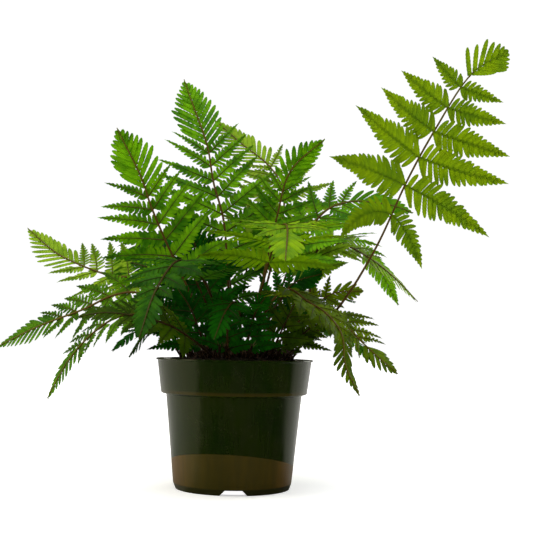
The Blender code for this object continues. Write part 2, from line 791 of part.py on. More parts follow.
def blade(spine, width, roots, slant=LEAFLET_SLANT, taper=BLADE_TAPER):
    """A thin blade along a spine, with its leaflets cut to the rib on both sides.

    Its first four points are roots: the edge on the minus side, the edge on the plus
    side, the rib above and the rib below. Both faces are cut into triangles alike, and
    the rib has a point at every second leaflet. slant is how far the leaflets lean
    forward: a share of their reach, but no more than a share of their pitch.
    """
    points = list(roots)
    faces = []

    def add(point):
        points.append(point)
        return len(points) - 1

    def both(one, two, three):
        """A triangle of the upper face, and the one below it."""
        faces.append(tuple(high for high, low in (one, two, three)))
        faces.append(tuple(low for high, low in (three, two, one)))

    lobes = len(spine) - 2
    stops = list(range(0, lobes, 2)) + [lobes]
    places = [row[1] for row in spine]
    for step in range(1, lobes, 2):
        places[step] = places[step - 1].lerp(places[step + 1], 0.5)
    ribs = {0: (2, 3)}
    notches = {-1: [(0, 0)], 1: [(1, 1)]}
    leaflets = {-1: [], 1: []}
    for step in range(1, lobes + 1):
        share, _, growth, across, top = spine[step]
        if step in stops:
            thick = RIB_HALF + (RIB_TIP_HALF - RIB_HALF) * share
            ribs[step] = (add(places[step] + top * thick), add(places[step] - top * thick))
        middle = 0.5 * (share + spine[step - 1][0])
        reach = half_width(width, middle, taper)
        pitch = (places[step] - places[step - 1]).length
        forward = growth * min(slant[0] * reach, slant[1] * pitch)
        for side in (-1, 1):
            depth = NOTCH_OFFSET + 0.5 * half_width(width, share, taper) * share**2
            if reach <= BLUNT_FROM:
                depth += SLIM_NOTCH * half_width(width, share, taper)
            notch = add(places[step] + across * (side * depth))
            notches[side].append((notch, notch))
            out = across * (side * reach) + forward
            spots = [(0.12, 1.0), (0.70, 0.95)] if reach > BLUNT_FROM else [(0.5, 1.0)]
            leaflet = []
            for along, shorter in spots:
                spot = add(places[step - 1].lerp(places[step], along) + out * shorter)
                leaflet.append((spot, spot))
            leaflets[side].append(leaflet)
    for start, stop in zip(stops, stops[1:]):
        rib, rib_after = ribs[start], ribs[stop]
        for side in (-1, 1):
            edge = [notches[side][start]] + leaflets[side][start]
            turn = len(edge) - 1
            if stop - start == 2:
                turn = len(edge)
                edge += [notches[side][start + 1]] + leaflets[side][start + 1]
            edge.append(notches[side][stop])
            triangles = [(rib, edge[n], edge[n + 1]) for n in range(turn)]
            triangles.append((rib, edge[turn], rib_after))
            triangles += [(rib_after, edge[n], edge[n + 1]) for n in range(turn, len(edge) - 1)]
            for triangle in triangles:
                both(*(triangle if side < 0 else reversed(triangle)))
    end = add(spine[-1][1])
    both(ribs[lobes], notches[-1][-1], (end, end))
    both(ribs[lobes], (end, end), notches[1][-1])
    return points, faces


def box_of(points):
    low = [min(point[axis] for point in points) for axis in range(3)]
    high = [max(point[axis] for point in points) for axis in range(3)]
    return low, high


def boxes_meet(one, two):
    return all(one[0][n] <= two[1][n] and two[0][n] <= one[1][n] for n in range(3))


def outside_pot(points):
    for x, y, z in points:
        if z < FLOOR_CLEAR:
            return False
        if z < POT_CLEAR_HEIGHT and math.hypot(x, y) < POT_CLEAR_RADIUS:
            return False
    return True


class Crowd:
    """What a new pinna has to stay clear of: every rachis, and the blades so far."""

    def __init__(self, routes):
        self.stems = []
        self.blades = []
        for name, route in routes.items():
            wide, faces = Rachis(route, grow=CLEARANCE).tube()
            true = Rachis(route).tube()[0]
            trees = [BVHTree.FromPolygons(points, faces) for points in (wide, true)]
            self.stems.append((name, *trees, box_of(wide)))
        self.tips = {}
        for name, route in routes.items():
            self.tips[name] = settled_tip(route, self)
            self.add(*self.tips[name])

    def add(self, points, faces):
        self.blades.append((BVHTree.FromPolygons(points, faces), box_of(points)))

    def is_clear(self, name, points, faces, top):
        """Whether a blade, and copies of it just above and below, cross nothing."""
        if not outside_pot(points[4:]):
            return False
        layers = list(points)
        triangles = list(faces)
        for side in (-1, 1):
            start = len(layers)
            layers.extend(point + top * (side * CLEARANCE) for point in points)
            triangles.extend(tuple(start + corner for corner in face) for face in faces)
        tree = BVHTree.FromPolygons(layers, triangles)
        box = box_of(layers)
        free = BVHTree.FromPolygons(points, [face for face in faces if min(face) > 3])
        for owner, wide, true, stem_box in self.stems:
            if owner == name:
                if free.overlap(true):
                    return False
            elif boxes_meet(box, stem_box) and tree.overlap(wide):
                return False
        for blade_tree, blade_box in self.blades:
            if boxes_meet(box, blade_box) and tree.overlap(blade_tree):
                return False
        return True


def crosses_itself(points, faces):
    tree = BVHTree.FromPolygons(points, faces)
    return any(not set(faces[one]) & set(faces[two]) for one, two in tree.overlap(tree))


def settled_tip(route, crowd):
    """The lobed blade that ends a frond, narrowed until it is clear of the crowd."""
    over, right, left = Rachis(route).rings[-1]
    roots = [right, left, over, right.lerp(left, 0.5)]
    lobes = max(2, round(route.length * route.frond.apex / LOBE_PITCH))
    spine = tip_spine(route, lobes + 1)
    for scale in CLEARING_LENGTHS:
        for lean in LOBE_LEANS:
            width = tip_width(route) * scale
            points, faces = blade(spine, width, roots, (lean, LOBE_ROOM), APEX_TAPER)
            if crosses_itself(points, faces):
                continue
            if crowd.is_clear(route.frond.name, points, faces, spine[0][4]):
                return points, faces
    return points, faces


def leans_out(route, pinna, points):
    """Whether a blade's first leaflets stay on their own side of the rachis."""
    along, right, over = route.frame(pinna.mark)
    for point in points[4:NEAR_POINTS]:
        mark = pinna.mark + (point - route.at(pinna.mark)).dot(along)
        if (point - route.at(mark)).dot(right) * pinna.side < route.radius(mark) + LEAFLET_CLEAR:
            return False
    return True


def settled_pinna(route, rachis, pinna, crowd):
    """A pinna's blade, turned or shortened until it is clear of the crowd."""
    roots = rachis.roots(pinna.pair, pinna.side)
    root = roots[2].lerp(roots[3], 0.5)
    for scale in CLEARING_LENGTHS:
        width = pinna.width * min(1.0, scale + 0.1)
        for turn in CLEARING_TURNS:
            length = pinna.length * scale
            spine = pinna_spine(route, pinna, root, turn, length, pinna.lobes + 1)
            points, faces = blade(spine, width, roots)
            if not leans_out(route, pinna, points):
                continue
            if crowd.is_clear(route.frond.name, points, faces, spine[0][4]):
                return points, faces
    return blade(pinna_spine(route, pinna, root, (0, 0), BUD_LENGTH, 1), 0.0, roots)


def frond_body(route, crowd, draw):
    """A whole frond as one closed body: points and faces."""
    rachis = Rachis(route)
    points = [point for ring in rachis.rings for point in ring]
    faces = [(0, 2, 1)]

    def join(blade_points, blade_faces, shared):
        """Adds a blade whose first points are already there, and returns its offset."""
        offset = len(points) - len(shared)
        points.extend(blade_points[len(shared):])
        places = dict(enumerate(shared))
        for face in blade_faces:
            faces.append(tuple(places.get(corner, corner + offset) for corner in face))
        return offset

    edges = {}
    for pinna in pinnae_of(route, draw):
        blade_points, blade_faces = settled_pinna(route, rachis, pinna, crowd)
        crowd.add(blade_points, blade_faces)
        ring = rachis.first + pinna.pair
        low = 3 * ring + (1 if pinna.side > 0 else 2)
        high = len(points)
        points.append(blade_points[1 if pinna.side > 0 else 0])
        shared = [low, high] if pinna.side > 0 else [high, low]
        offset = join(blade_points, blade_faces, shared)
        edges[ring, pinna.side] = (high, offset + 2, offset + 3)
    for ring in range(rachis.first):
        faces += stretch_faces(ring)
    last = 3 * (len(rachis.rings) - 1)
    under = len(points)
    points.append(points[last + 1].lerp(points[last + 2], 0.5))
    for ring in range(rachis.first, len(rachis.rings) - 1):
        over, right, left, over2, right2, left2 = range(3 * ring, 3 * ring + 6)
        right_end, right_above, right_below = edges[ring, 1]
        left_end, left_above, left_below = edges[ring, -1]
        faces += [(over, right, right_above), (over, right_above, right_end)]
        faces += [(over, right_end, over2), (right_end, right2, over2)]
        faces += [(left, over, left_above), (left_above, over, left_end)]
        faces += [(left_end, over, over2), (left_end, over2, left2)]
        faces += [(right, left, left_below), (right, left_below, right_below)]
        faces += [(right_below, left_below, left_end), (right_below, left_end, right_end)]
        if 3 * ring + 3 == last:
            faces += [(right_end, left_end, under), (left_end, left2, under)]
            faces.append((right_end, under, right2))
        else:
            faces += [(right_end, left_end, left2), (right_end, left2, right2)]
    join(*crowd.tips[route.frond.name], [last + 1, last + 2, last, under])
    return points, faces


def main():
    remove_scene_objects()
    plastic = make_material("dark_olive_plastic", (0.018, 0.022, 0.010), 0.32)
    earth = make_material("potting_soil", (0.035, 0.020, 0.010), 0.95)
    leaf = make_material("fern_leaf", (0.075, 0.210, 0.012), 0.45)
    make_pot(plastic)
    routes = {frond.name: Route(frond) for frond in FRONDS}
    make_soil(routes, earth)
    crowd = Crowd(routes)
    for number, (name, route) in enumerate(routes.items()):
        points, faces = frond_body(route, crowd, random.Random(FROND_SEED + number))
        make_object(name, points, faces, leaf)


main()
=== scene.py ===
"""Potted autumn fern: the fine model of the pot, the soil and every frond.

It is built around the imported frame. Sizes are in millimetres, and turn into metres where
a mesh is made. The layout of the fronds is worked out as in the part's own source. How
far each pinna was turned there, to clear its neighbours, is found from the frond's solid,
so each fine frond grows where its solid does. Then every pinna gets its own leaflets.
"""

import math
import random
from dataclasses import dataclass

import bmesh
import bpy
import numpy as np
from mathutils import Matrix, Vector, noise
from mathutils.kdtree import KDTree


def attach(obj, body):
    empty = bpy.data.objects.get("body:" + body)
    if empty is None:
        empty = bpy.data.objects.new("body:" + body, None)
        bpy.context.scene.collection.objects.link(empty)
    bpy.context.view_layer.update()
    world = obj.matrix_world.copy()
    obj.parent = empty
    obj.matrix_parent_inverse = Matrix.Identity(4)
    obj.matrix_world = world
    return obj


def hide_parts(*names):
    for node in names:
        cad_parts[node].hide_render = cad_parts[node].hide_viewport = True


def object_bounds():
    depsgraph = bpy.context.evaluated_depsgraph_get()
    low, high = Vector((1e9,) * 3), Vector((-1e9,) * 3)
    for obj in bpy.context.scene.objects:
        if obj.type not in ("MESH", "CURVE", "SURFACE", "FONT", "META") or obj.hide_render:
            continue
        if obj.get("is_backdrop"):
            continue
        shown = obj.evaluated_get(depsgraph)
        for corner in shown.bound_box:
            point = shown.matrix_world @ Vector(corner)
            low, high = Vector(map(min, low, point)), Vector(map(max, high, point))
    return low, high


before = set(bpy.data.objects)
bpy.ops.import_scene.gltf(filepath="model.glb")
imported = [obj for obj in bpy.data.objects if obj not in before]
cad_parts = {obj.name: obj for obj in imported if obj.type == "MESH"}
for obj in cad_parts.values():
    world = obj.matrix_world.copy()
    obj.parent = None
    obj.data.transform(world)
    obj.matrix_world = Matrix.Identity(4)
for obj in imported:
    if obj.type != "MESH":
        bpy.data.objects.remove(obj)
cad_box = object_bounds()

MM = 0.001
UP = Vector((0.0, 0.0, 1.0))

# Nursery pot, as in the part's source
RIM_RADIUS = 76.0
RIM_HEIGHT = 123.6
RIM_LIP = 1.8
COLLAR_TOP_RADIUS = 74.5
COLLAR_BOTTOM_RADIUS = 70.6
COLLAR_BOTTOM = 90.6
SHOULDER_DROP = 1.3
BODY_TOP_RADIUS = 65.6
BODY_LOW_RADIUS = 57.0
BEVEL_HEIGHT = 5.5
FOOT_RADIUS = 55.2
FOOT_WIDTH = 2.4
FLOOR_HEIGHT = 6.0
WALL = 1.5
LIP_WALL = 2.6
NOTCH_BOTTOM = 26.0
NOTCH_TOP = 16.0
NOTCH_HEIGHT = 5.0
NOTCH_TURN = -87.0
NOTCH_FLARE = 0.8
NOTCH_REACH = (-8.0, 6.0)
DRAIN_RADIUS = 6.0
DRAIN_CIRCLE = 36.0

# Soil, as in the part's source
SOIL_GAP = 0.35
SOIL_EDGE = 119.5
SOIL_CROWN = 126.0

# Lumps of the soil, and the seed of the loose bits on it
LUMP_SIZE = 9.0
LUMP_HEIGHT = 1.1
SOIL_SEED = 91

# Loose bits on the soil: how many, their least and greatest size, how flat and how long
LOOSE_BITS = {
    "soil_crumbs": (1500, (0.5, 1.9), 0.8, 1.2),
    "bark_chips": (190, (1.2, 2.9), 0.42, 1.7),
}

# Fronds, as in the part's source
STIPE_SINK = 14.0
STIPE_RADIUS = 1.5
TIP_RADIUS = 0.55
CURVE_STEPS = 24
FACE_SHARE = 0.6
PAIR_CROWDING = 1.25
SPINE_PARTS = 6
ROOT_HALF = 1.4
ROOT_REACH = 0.6
BLUNT_FROM = 9.4
FIRST_SPOTS = (0.5, 0.12)
APEX_FULLNESS = 1.5
BLADE_TAPER = 1.2
APEX_TAPER = 1.1
LOBE_PITCH = 13.0
LOBE_LEANS = (0.62, 0.42, 0.22)
LOBE_ROOM = 3.0
FROND_SEED = 40
PINNA_WIDTH = 0.52
PINNA_ROOM = 1.45
PINNA_LIFT = 8.0
PINNA_TWIST = 17.0
ANGLE_CLOSING = 14.0
PINNA_CURVE = 0.25
HANG_TURN = 7.0

# Painted reflection of a brown table round the pot's foot: its height, and how far it is higher at
# the front
TABLE_REFLECTION_HEIGHT = 23.0
TABLE_REFLECTION_RISE = 15.0
TABLE_REFLECTION_TURN = 1.75

# Leaflets: their places along the rib, and their sizes in millimetres or in shares
LEAFLET_SEED = 700
LEAFLET_PITCH = 3.0
LEAFLET_PITCH_GROWTH = 0.022
LEAFLET_REACH = 1.08
LEAFLET_FILL = 0.98
LEAFLET_CLOSING = 0.34
LEAFLET_BACK = 0.18
LEAFLET_BEND = 0.16
LEAFLET_CURL = 0.12
LEAFLET_CUP = 0.16
LEAFLET_THICKNESS = 0.32
THINNING = 0.6
LEAST_LEAFLET = 0.7
LEAST_BLUNT = 3.2
SCALLOP = 0.13
LEAFLET_ROW = 1.15
LEAFLET_ROWS = (6, 16)
LEAFLETS_END = 0.94

# Angles of the leaflets in degrees. They close up along the rib, and more near its tip.
LEAFLET_ANGLE = 80.0
FIRST_ANGLE = 62.0
BLADE_CLOSING = 34.0
TIP_CLOSING = 60.0
TIP_FROM = 0.7
LEAFLET_LIFT = 8.0
SHINGLE_TILT = (3.0, 14.0)

# Ribs of the pinnae, and the groove and the swelling of the rachis
RIB_ROOT = 1.7
RIB_ROLL = 14.0
RIB_RADIUS = 0.48
RIB_GROWTH = 0.0022
RIB_TAPER = 0.85
RACHIS_STEP = 6.0
GROOVE = 0.3
GROOVE_SHARPNESS = 6
SLIMNESS = 0.02
STOUTNESS = 0.27
STOUT_FROM = 130.0
STOUT_OVER = 120.0
TIP_THINNING = 0.35

# Simple lobes of a frond's leafy tip
APEX_PITCH = 6.6
LOBE_APART = 0.40
LOBE_GROWTH = 2.5
LOBE_SLOPE = 0.20
LOBE_CLOSING = 0.50
LOBE_REACH = 0.96
LOBE_WIDENING = 0.42
LOBE_BEND = 0.10
LOBE_CUP = (0.15, 0.35)
LOBES_END = 0.93

# Papery scales on a frond's foot. Their habit is how far they point up, length and width.
FOOT_SCALES = 60
FOOT_SHARE = 0.30
FOOT_HABIT = ((0.5, 1.2), (2.2, 5.0), (0.3, 0.8))

# Old stem bases round each frond. A ring is a share of the height and of the radius.
OLD_BASE_SEED = 57
OLD_BASES = 6
OLD_BASE_AWAY = (2.6, 8.0)
OLD_BASE_ROOM = 4.0
OLD_BASE_SINK = 2.0
OLD_BASE_HEIGHT = (7.0, 19.0)
OLD_BASE_RADIUS = (1.1, 2.0)
OLD_BASE_RINGS = ((0.0, 1.25), (0.3, 1.0), (0.75, 0.85), (1.0, 0.5))
OLD_BASE_SCALES = 12
OLD_BASE_HABIT = ((0.7, 1.6), (3.0, 7.5), (0.5, 1.1))

# How finely round pieces are made, and the floor's size
POT_SEGMENTS = 144
SOIL_SEGMENTS = 150
SOIL_RINGS = 46
FLOOR_RADIUS = 7000.0
FLOOR_SIDES = 64

# Edges sharper than these angles, in degrees, stay sharp
POT_SHARP = 30.0
SOIL_SHARP = 50.0
FROND_SHARP = 60.0

# The camera, in metres and radians, and its lens in millimetres
CAMERA_PLACE = (0.0291, -0.9946, 0.1444)
CAMERA_LEAN = 0.070
CAMERA_ROLL = 0.019
CAMERA_LENS = 68.8

# How much light comes through a leaf
LIGHT_THROUGH = 0.42

# How near a corner of a solid is to be the point looked for
SAME_POINT = 0.02

# Turns tried on a pinna that wasn't clear: lift and swing in degrees, then its length
CLEARING_TURNS = [
    (0, 0), (9, 0), (-9, 0), (18, 0), (-18, 0), (0, -12), (12, -12), (-12, -12),
    (28, 0), (-28, 0), (24, -14), (-24, -14), (40, 0), (-40, 0), (40, -16), (-40, -16),
    (55, -10), (-55, -10),
]
CLEARING_LENGTHS = (1.0, 0.8, 0.62, 0.45, 0.3, 0.2)


@dataclass
class Frond:
    """One frond. Its path starts at the soil, and its upper side faces along face midway.

    leaf names its leaf colours. first is where the pairs start, as a share of the length,
    and reach is the longest pinna. hang lets the lowest pairs droop. low is the size of the
    lowest pair, and a higher taper keeps the frond broad for longer. apex is the share of
    the length that is one lobed blade, above the last pair.
    """

    name: str
    leaf: str
    path: list
    face: tuple
    pairs: int
    first: float
    reach: float
    lobes: int = 2
    angle: float = 66.0
    droop: float = 0.35
    hang: float = 0.3
    low: float = 0.88
    taper: float = 1.3
    apex: float = 0.25


FRONDS = [
    Frond("frond_right_long", "long",
          [(47, 0, 121), (95, -20, 170), (129, -50, 227), (156, -72, 290), (179, -86, 335),
          (208, -98, 382), (240, -108, 402)],
          (0.5, 0.82, 0.3), 6, 0.5, 91.0, lobes=5, angle=90.0, droop=0.15, hang=1.9, low=0.64,
          taper=1.8, apex=0.1),
    Frond("frond_centre_tall", "mid",
          [(-2, 8, 123), (-8, 14, 190), (-14, 18, 257), (-26, 25, 300), (-34, 32, 340),
          (-52, 40, 388), (-60, 45, 410)],
          (0.1, -0.9, 0.35), 7, 0.36, 84.0, lobes=4, angle=62.0, droop=0.3),
    Frond("frond_left_upper", "mid",
          [(-20, -7, 123), (-39, -22, 176), (-66, -38, 233), (-80, -45, 265), (-90, -52, 293),
          (-108, -60, 328), (-112, -62, 336)],
          (-0.35, -0.65, 0.6), 6, 0.38, 73.0, lobes=4, angle=64.0, droop=0.5),
    Frond("frond_front_light", "bright",
          [(8, -12, 124), (22, -24, 180), (34, -52, 225), (42, -98, 243), (46, -145, 236),
          (44, -188, 206)],
          (0.0, -0.3, 0.9), 6, 0.38, 80.0, lobes=4, angle=76.0, droop=0.3, apex=0.16),
    Frond("frond_left_back", "pale",
          [(-17, 25, 123), (-60, 45, 178), (-105, 65, 202), (-136, 78, 207), (-169, 90, 218),
          (-200, 100, 233), (-232, 110, 259)],
          (0.1, -0.75, 0.65), 6, 0.34, 70.0, lobes=3, angle=68.0, droop=0.1),
    Frond("frond_right_low", "olive",
          [(30, -7, 124), (60, -22, 160), (82, -35, 168), (99, -45, 161), (126, -55, 135),
          (151, -62, 114)],
          (0.25, -0.6, 0.75), 6, 0.36, 50.0, lobes=3, angle=64.0),
    Frond("frond_left_low", "side",
          [(-24, 6, 123), (-60, 8, 168), (-95, 10, 186), (-123, 12, 183), (-152, 16, 169),
          (-196, 22, 152), (-241, 32, 130)],
          (-0.1, -0.75, 0.65), 6, 0.34, 54.0, lobes=3, angle=56.0, droop=0.2),
    Frond("frond_front_right", "olive",
          [(17, -26, 123), (28, -45, 166), (47, -70, 189), (67, -90, 177), (83, -105, 166),
          (95, -117, 148), (98, -124, 122), (110, -132, 97)],
          (0.5, -0.45, 0.6), 6, 0.34, 46.0, lobes=3, angle=64.0, droop=0.4),
    Frond("frond_right_mid", "mid",
          [(26, 9, 124), (50, 14, 210), (80, 18, 265), (110, 20, 282), (150, 20, 280),
          (175, 18, 272)],
          (0.0, -0.65, 0.75), 6, 0.4, 62.0, lobes=3, angle=68.0),
    Frond("frond_right_light", "pale",
          [(40, 10, 122), (70, 10, 180), (77, 14, 228), (100, 20, 240), (130, 27, 228),
          (160, 32, 206), (183, 37, 184)],
          (0.2, -0.5, 0.85), 6, 0.38, 50.0, lobes=3),
    Frond("frond_back_pale", "pale",
          [(12, 20, 124), (30, 40, 200), (45, 62, 270), (44, 82, 305), (28, 98, 332), (0, 112, 356),
          (-32, 122, 385)],
          (0.1, -0.6, 0.75), 7, 0.4, 76.0, angle=72.0, droop=0.3),
    Frond("frond_left_drooping", "side",
          [(-28, -20, 123), (-65, -38, 158), (-101, -50, 163), (-128, -55, 147), (-150, -62, 120),
          (-167, -70, 85)],
          (-0.4, -0.5, 0.8), 6, 0.32, 44.0, lobes=3, angle=64.0, droop=0.5),
    Frond("frond_front_left", "deep",
          [(-4, -24, 123), (-24, -60, 188), (-45, -115, 210), (-60, -168, 182), (-68, -209, 142)],
          (-0.15, -0.45, 0.8), 6, 0.36, 60.0, lobes=3, angle=70.0, droop=0.3, apex=0.18),
    Frond("frond_front_olive", "shaded",
          [(-16, -33, 122), (-36, -50, 140), (-63, -72, 156), (-107, -92, 164), (-135, -102, 160)],
          (-0.1, -0.6, 0.78), 5, 0.3, 46.0, angle=64.0, droop=0.3),
    Frond("frond_top_right", "mid",
          [(8, 3, 125), (25, 10, 200), (38, 16, 262), (51, 18, 311), (85, 12, 344)],
          (0.1, -0.9, 0.35), 5, 0.5, 46.0, lobes=3, angle=60.0, droop=0.2),
    Frond("frond_back_long", "mid",
          [(0, 34, 123), (10, 80, 230), (20, 134, 282), (25, 184, 264), (28, 212, 220)],
          (0.0, 0.5, 0.8), 6, 0.34, 72.0, angle=74.0, droop=0.3),
    Frond("frond_back_left", "deep",
          [(-11, 34, 123), (-50, 80, 220), (-90, 125, 256), (-125, 160, 236), (-150, 188, 195)],
          (-0.3, 0.3, 0.8), 6, 0.36, 64.0, angle=72.0),
    Frond("frond_back_right", "mid",
          [(22, 30, 123), (60, 75, 215), (105, 118, 255), (150, 152, 232), (182, 176, 185)],
          (0.3, 0.3, 0.8), 6, 0.36, 64.0, angle=72.0),
    Frond("frond_back_low", "dark",
          [(-4, 46, 121), (-12, 85, 165), (-22, 130, 172), (-30, 165, 145), (-34, 185, 112)],
          (0.0, 0.65, 0.6), 5, 0.34, 48.0),
    Frond("frond_inner_left", "dark",
          [(-10, -2, 124), (-30, -12, 180), (-54, -14, 220), (-86, -10, 238)],
          (-0.1, -0.6, 0.8), 5, 0.34, 52.0),
    Frond("frond_inner_right", "dark",
          [(19, -9, 124), (34, -14, 165), (54, -22, 196), (82, -34, 206)],
          (0.1, -0.6, 0.8), 4, 0.34, 50.0),
    Frond("frond_inner_upright", "dark",
          [(-13, 7, 124), (-28, 8, 190), (-44, 6, 240), (-62, 2, 266)],
          (-0.2, -0.7, 0.6), 5, 0.36, 50.0),
    Frond("frond_inner_front", "dark",
          [(6, -24, 123), (6, -50, 158), (2, -82, 176), (-6, -112, 166), (-14, -134, 142)],
          (0.0, -0.3, 0.95), 5, 0.3, 48.0, apex=0.2),
    Frond("frond_inner_back", "deep",
          [(2, 22, 124), (-6, 44, 186), (-12, 76, 224), (-16, 110, 232), (-18, 140, 218)],
          (0.0, 0.1, 1.0), 5, 0.34, 54.0, angle=68.0),
    Frond("frond_inner_back_left", "deep",
          [(-11, 16, 124), (-30, 42, 168), (-56, 70, 186), (-86, 98, 180)],
          (-0.1, -0.2, 1.0), 4, 0.32, 46.0),
    Frond("frond_inner_back_right", "deep",
          [(26, 20, 124), (56, 42, 170), (90, 62, 190), (124, 78, 184)],
          (0.1, -0.2, 1.0), 5, 0.32, 46.0),
    Frond("frond_side_left", "dark",
          [(-31, 17, 122), (-62, 40, 150), (-98, 62, 152), (-132, 80, 128)],
          (-0.3, 0.2, 0.95), 5, 0.32, 40.0, angle=64.0),
    Frond("frond_side_right", "deep",
          [(38, 26, 122), (76, 50, 152), (114, 74, 148), (146, 94, 120)],
          (0.3, 0.2, 0.95), 5, 0.32, 42.0, angle=64.0),
    Frond("frond_rim_left", "dark",
          [(-38, -8, 122), (-57, -25, 150), (-77, -35, 152), (-98, -42, 124)],
          (-0.5, -0.3, 0.8), 3, 0.38, 32.0, angle=62.0),
    Frond("frond_low_left", "dark",
          [(-25, -29, 122), (-32, -36, 148), (-42, -43, 172), (-54, -49, 190)],
          (-0.3, -0.8, 0.45), 4, 0.2, 44.0, angle=68.0),
    Frond("frond_low_front", "dark",
          [(-6, -38, 121), (-6, -48, 146), (-8, -57, 166), (-12, -66, 182)],
          (-0.1, -0.85, 0.45), 4, 0.2, 42.0, angle=68.0),
    Frond("frond_low_centre", "dark",
          [(11, -36, 122), (14, -46, 146), (20, -54, 168), (30, -58, 184)],
          (0.1, -0.85, 0.45), 4, 0.2, 40.0, angle=68.0),
    Frond("frond_low_right", "shaded",
          [(33, -24, 122), (42, -34, 146), (52, -41, 168), (62, -44, 188)],
          (0.2, -0.8, 0.45), 4, 0.2, 42.0, angle=68.0),
    Frond("frond_low_side_left", "dark",
          [(-45, 8, 121), (-54, 6, 146), (-66, 2, 166), (-80, -3, 180)],
          (-0.2, -0.75, 0.5), 4, 0.24, 42.0),
    Frond("frond_low_side_right", "shaded",
          [(50, -14, 121), (60, -22, 142), (74, -28, 156), (90, -32, 160)],
          (0.2, -0.6, 0.7), 4, 0.24, 40.0),
    Frond("frond_low_back_left", "deep",
          [(-24, 24, 123), (-50, 32, 172), (-80, 42, 208), (-112, 54, 220)],
          (-0.2, -0.7, 0.7), 4, 0.3, 46.0),
    Frond("frond_low_back_right", "olive",
          [(46, 16, 121), (66, 14, 162), (92, 6, 188), (124, -4, 192)],
          (0.2, -0.7, 0.7), 4, 0.3, 42.0),
]


def kept(value, low=0.0, high=1.0):
    """A value kept in a range."""
    return min(high, max(low, value))


def between(one, two, turn):
    """The direction that lies a turn on from one direction towards another."""
    return one * math.cos(turn) + two * math.sin(turn)


def circle(radius, count, height=0.0, middle=(0.0, 0.0), start=0.0):
    """Points round a level circle."""
    points = []
    for step in range(count):
        turn = start + math.tau * step / count
        x, y = middle[0] + radius * math.cos(turn), middle[1] + radius * math.sin(turn)
        points.append(Vector((x, y, height)))
    return points


class Route:
    """A smooth curve through a frond's points, measured by its length from the soil."""

    def __init__(self, frond):
        self.frond = frond
        points = [Vector(point) for point in frond.path]
        points = [points[0] * 2 - points[1]] + points + [points[-1] * 2 - points[-2]]
        self.points = [points[1]]
        for before, start, end, after in zip(points, points[1:], points[2:], points[3:]):
            for step in range(1, CURVE_STEPS + 1):
                t = step / CURVE_STEPS
                self.points.append(
                    0.5
                    * (
                        2 * start
                        + (end - before) * t
                        + (2 * before - 5 * start + 4 * end - after) * t**2
                        + (3 * start - before - 3 * end + after) * t**3
                    )
                )
        self.marks = [0.0]
        for start, end in zip(self.points, self.points[1:]):
            self.marks.append(self.marks[-1] + (end - start).length)
        self.length = self.marks[-1]
        middle = self.step_at(FACE_SHARE * self.length)[0]
        self.overs = [None] * len(self.points)
        self.overs[middle] = self.upright(Vector(frond.face), self.marks[middle])
        for step in range(middle + 1, len(self.points)):
            self.overs[step] = self.upright(self.overs[step - 1], self.marks[step])
        for step in range(middle - 1, -1, -1):
            self.overs[step] = self.upright(self.overs[step + 1], self.marks[step])

    def step_at(self, mark):
        """The step of the curve that a mark falls in, and how far along that step it is."""
        for step in range(1, len(self.marks)):
            if mark <= self.marks[step]:
                break
        span = self.marks[step] - self.marks[step - 1]
        return step, (mark - self.marks[step - 1]) / span

    def at(self, mark):
        step, share = self.step_at(mark)
        return self.points[step - 1].lerp(self.points[step], share)

    def along(self, mark):
        return (self.at(mark + 2.0) - self.at(mark - 2.0)).normalized()

    def upright(self, over, mark):
        """The part of a direction that is square to the growth at a mark."""
        along = self.along(mark)
        return (over - along * over.dot(along)).normalized()

    def frame(self, mark):
        """The direction of growth, the right-hand side and the upper side at a mark."""
        step, share = self.step_at(mark)
        over = self.upright(self.overs[step - 1].lerp(self.overs[step], kept(share)), mark)
        along = self.along(mark)
        return along, along.cross(over), over

    def radius(self, mark):
        return STIPE_RADIUS + (TIP_RADIUS - STIPE_RADIUS) * kept(mark / self.length)

    def apex_start(self):
        return self.length * (1.0 - self.frond.apex)

    def fullness(self, mark):
        """How long a pinna at a mark is, as a share of the longest."""
        start = self.length * self.frond.first
        share = (mark - start) / (self.length - start)
        return min(1.0, self.frond.low + 2.5 * share) * (1.0 - share**self.frond.taper)

    def pair_marks(self):
        """Where the pairs of pinnae stand, closer together towards the tip."""
        start = self.length * self.frond.first
        end = self.apex_start()
        marks = []
        for pair in range(self.frond.pairs):
            share = 1.0 - (1.0 - pair / self.frond.pairs) ** PAIR_CROWDING
            marks.append(start + (end - start) * share)
        return marks

    def edge(self, mark, side):
        """The right or the left edge of the rachis at a mark."""
        _, right, over = self.frame(mark)
        radius = self.radius(mark)
        return self.at(mark) - over * (radius * 0.5) + right * (side * radius)

    def root(self, pair, side):
        """Where the rib of a pinna leaves the rachis."""
        marks = [mark - ROOT_HALF for mark in self.pair_marks()] + [self.apex_start()]
        start, after = marks[pair], marks[pair + 1]
        low = self.edge(start, side)
        high = low.lerp(self.edge(after, side), 2 * ROOT_HALF / (after - start))
        right = self.frame(start + ROOT_HALF)[1]
        return low.lerp(high, 0.5) + right * (side * ROOT_REACH)


@dataclass
class Pinna:
    """One pinna as it grows: side is 1 on the right and -1 on the left."""

    mark: float
    pair: int
    side: int
    length: float
    width: float
    lobes: int
    angle: float
    lift: float
    droop: float


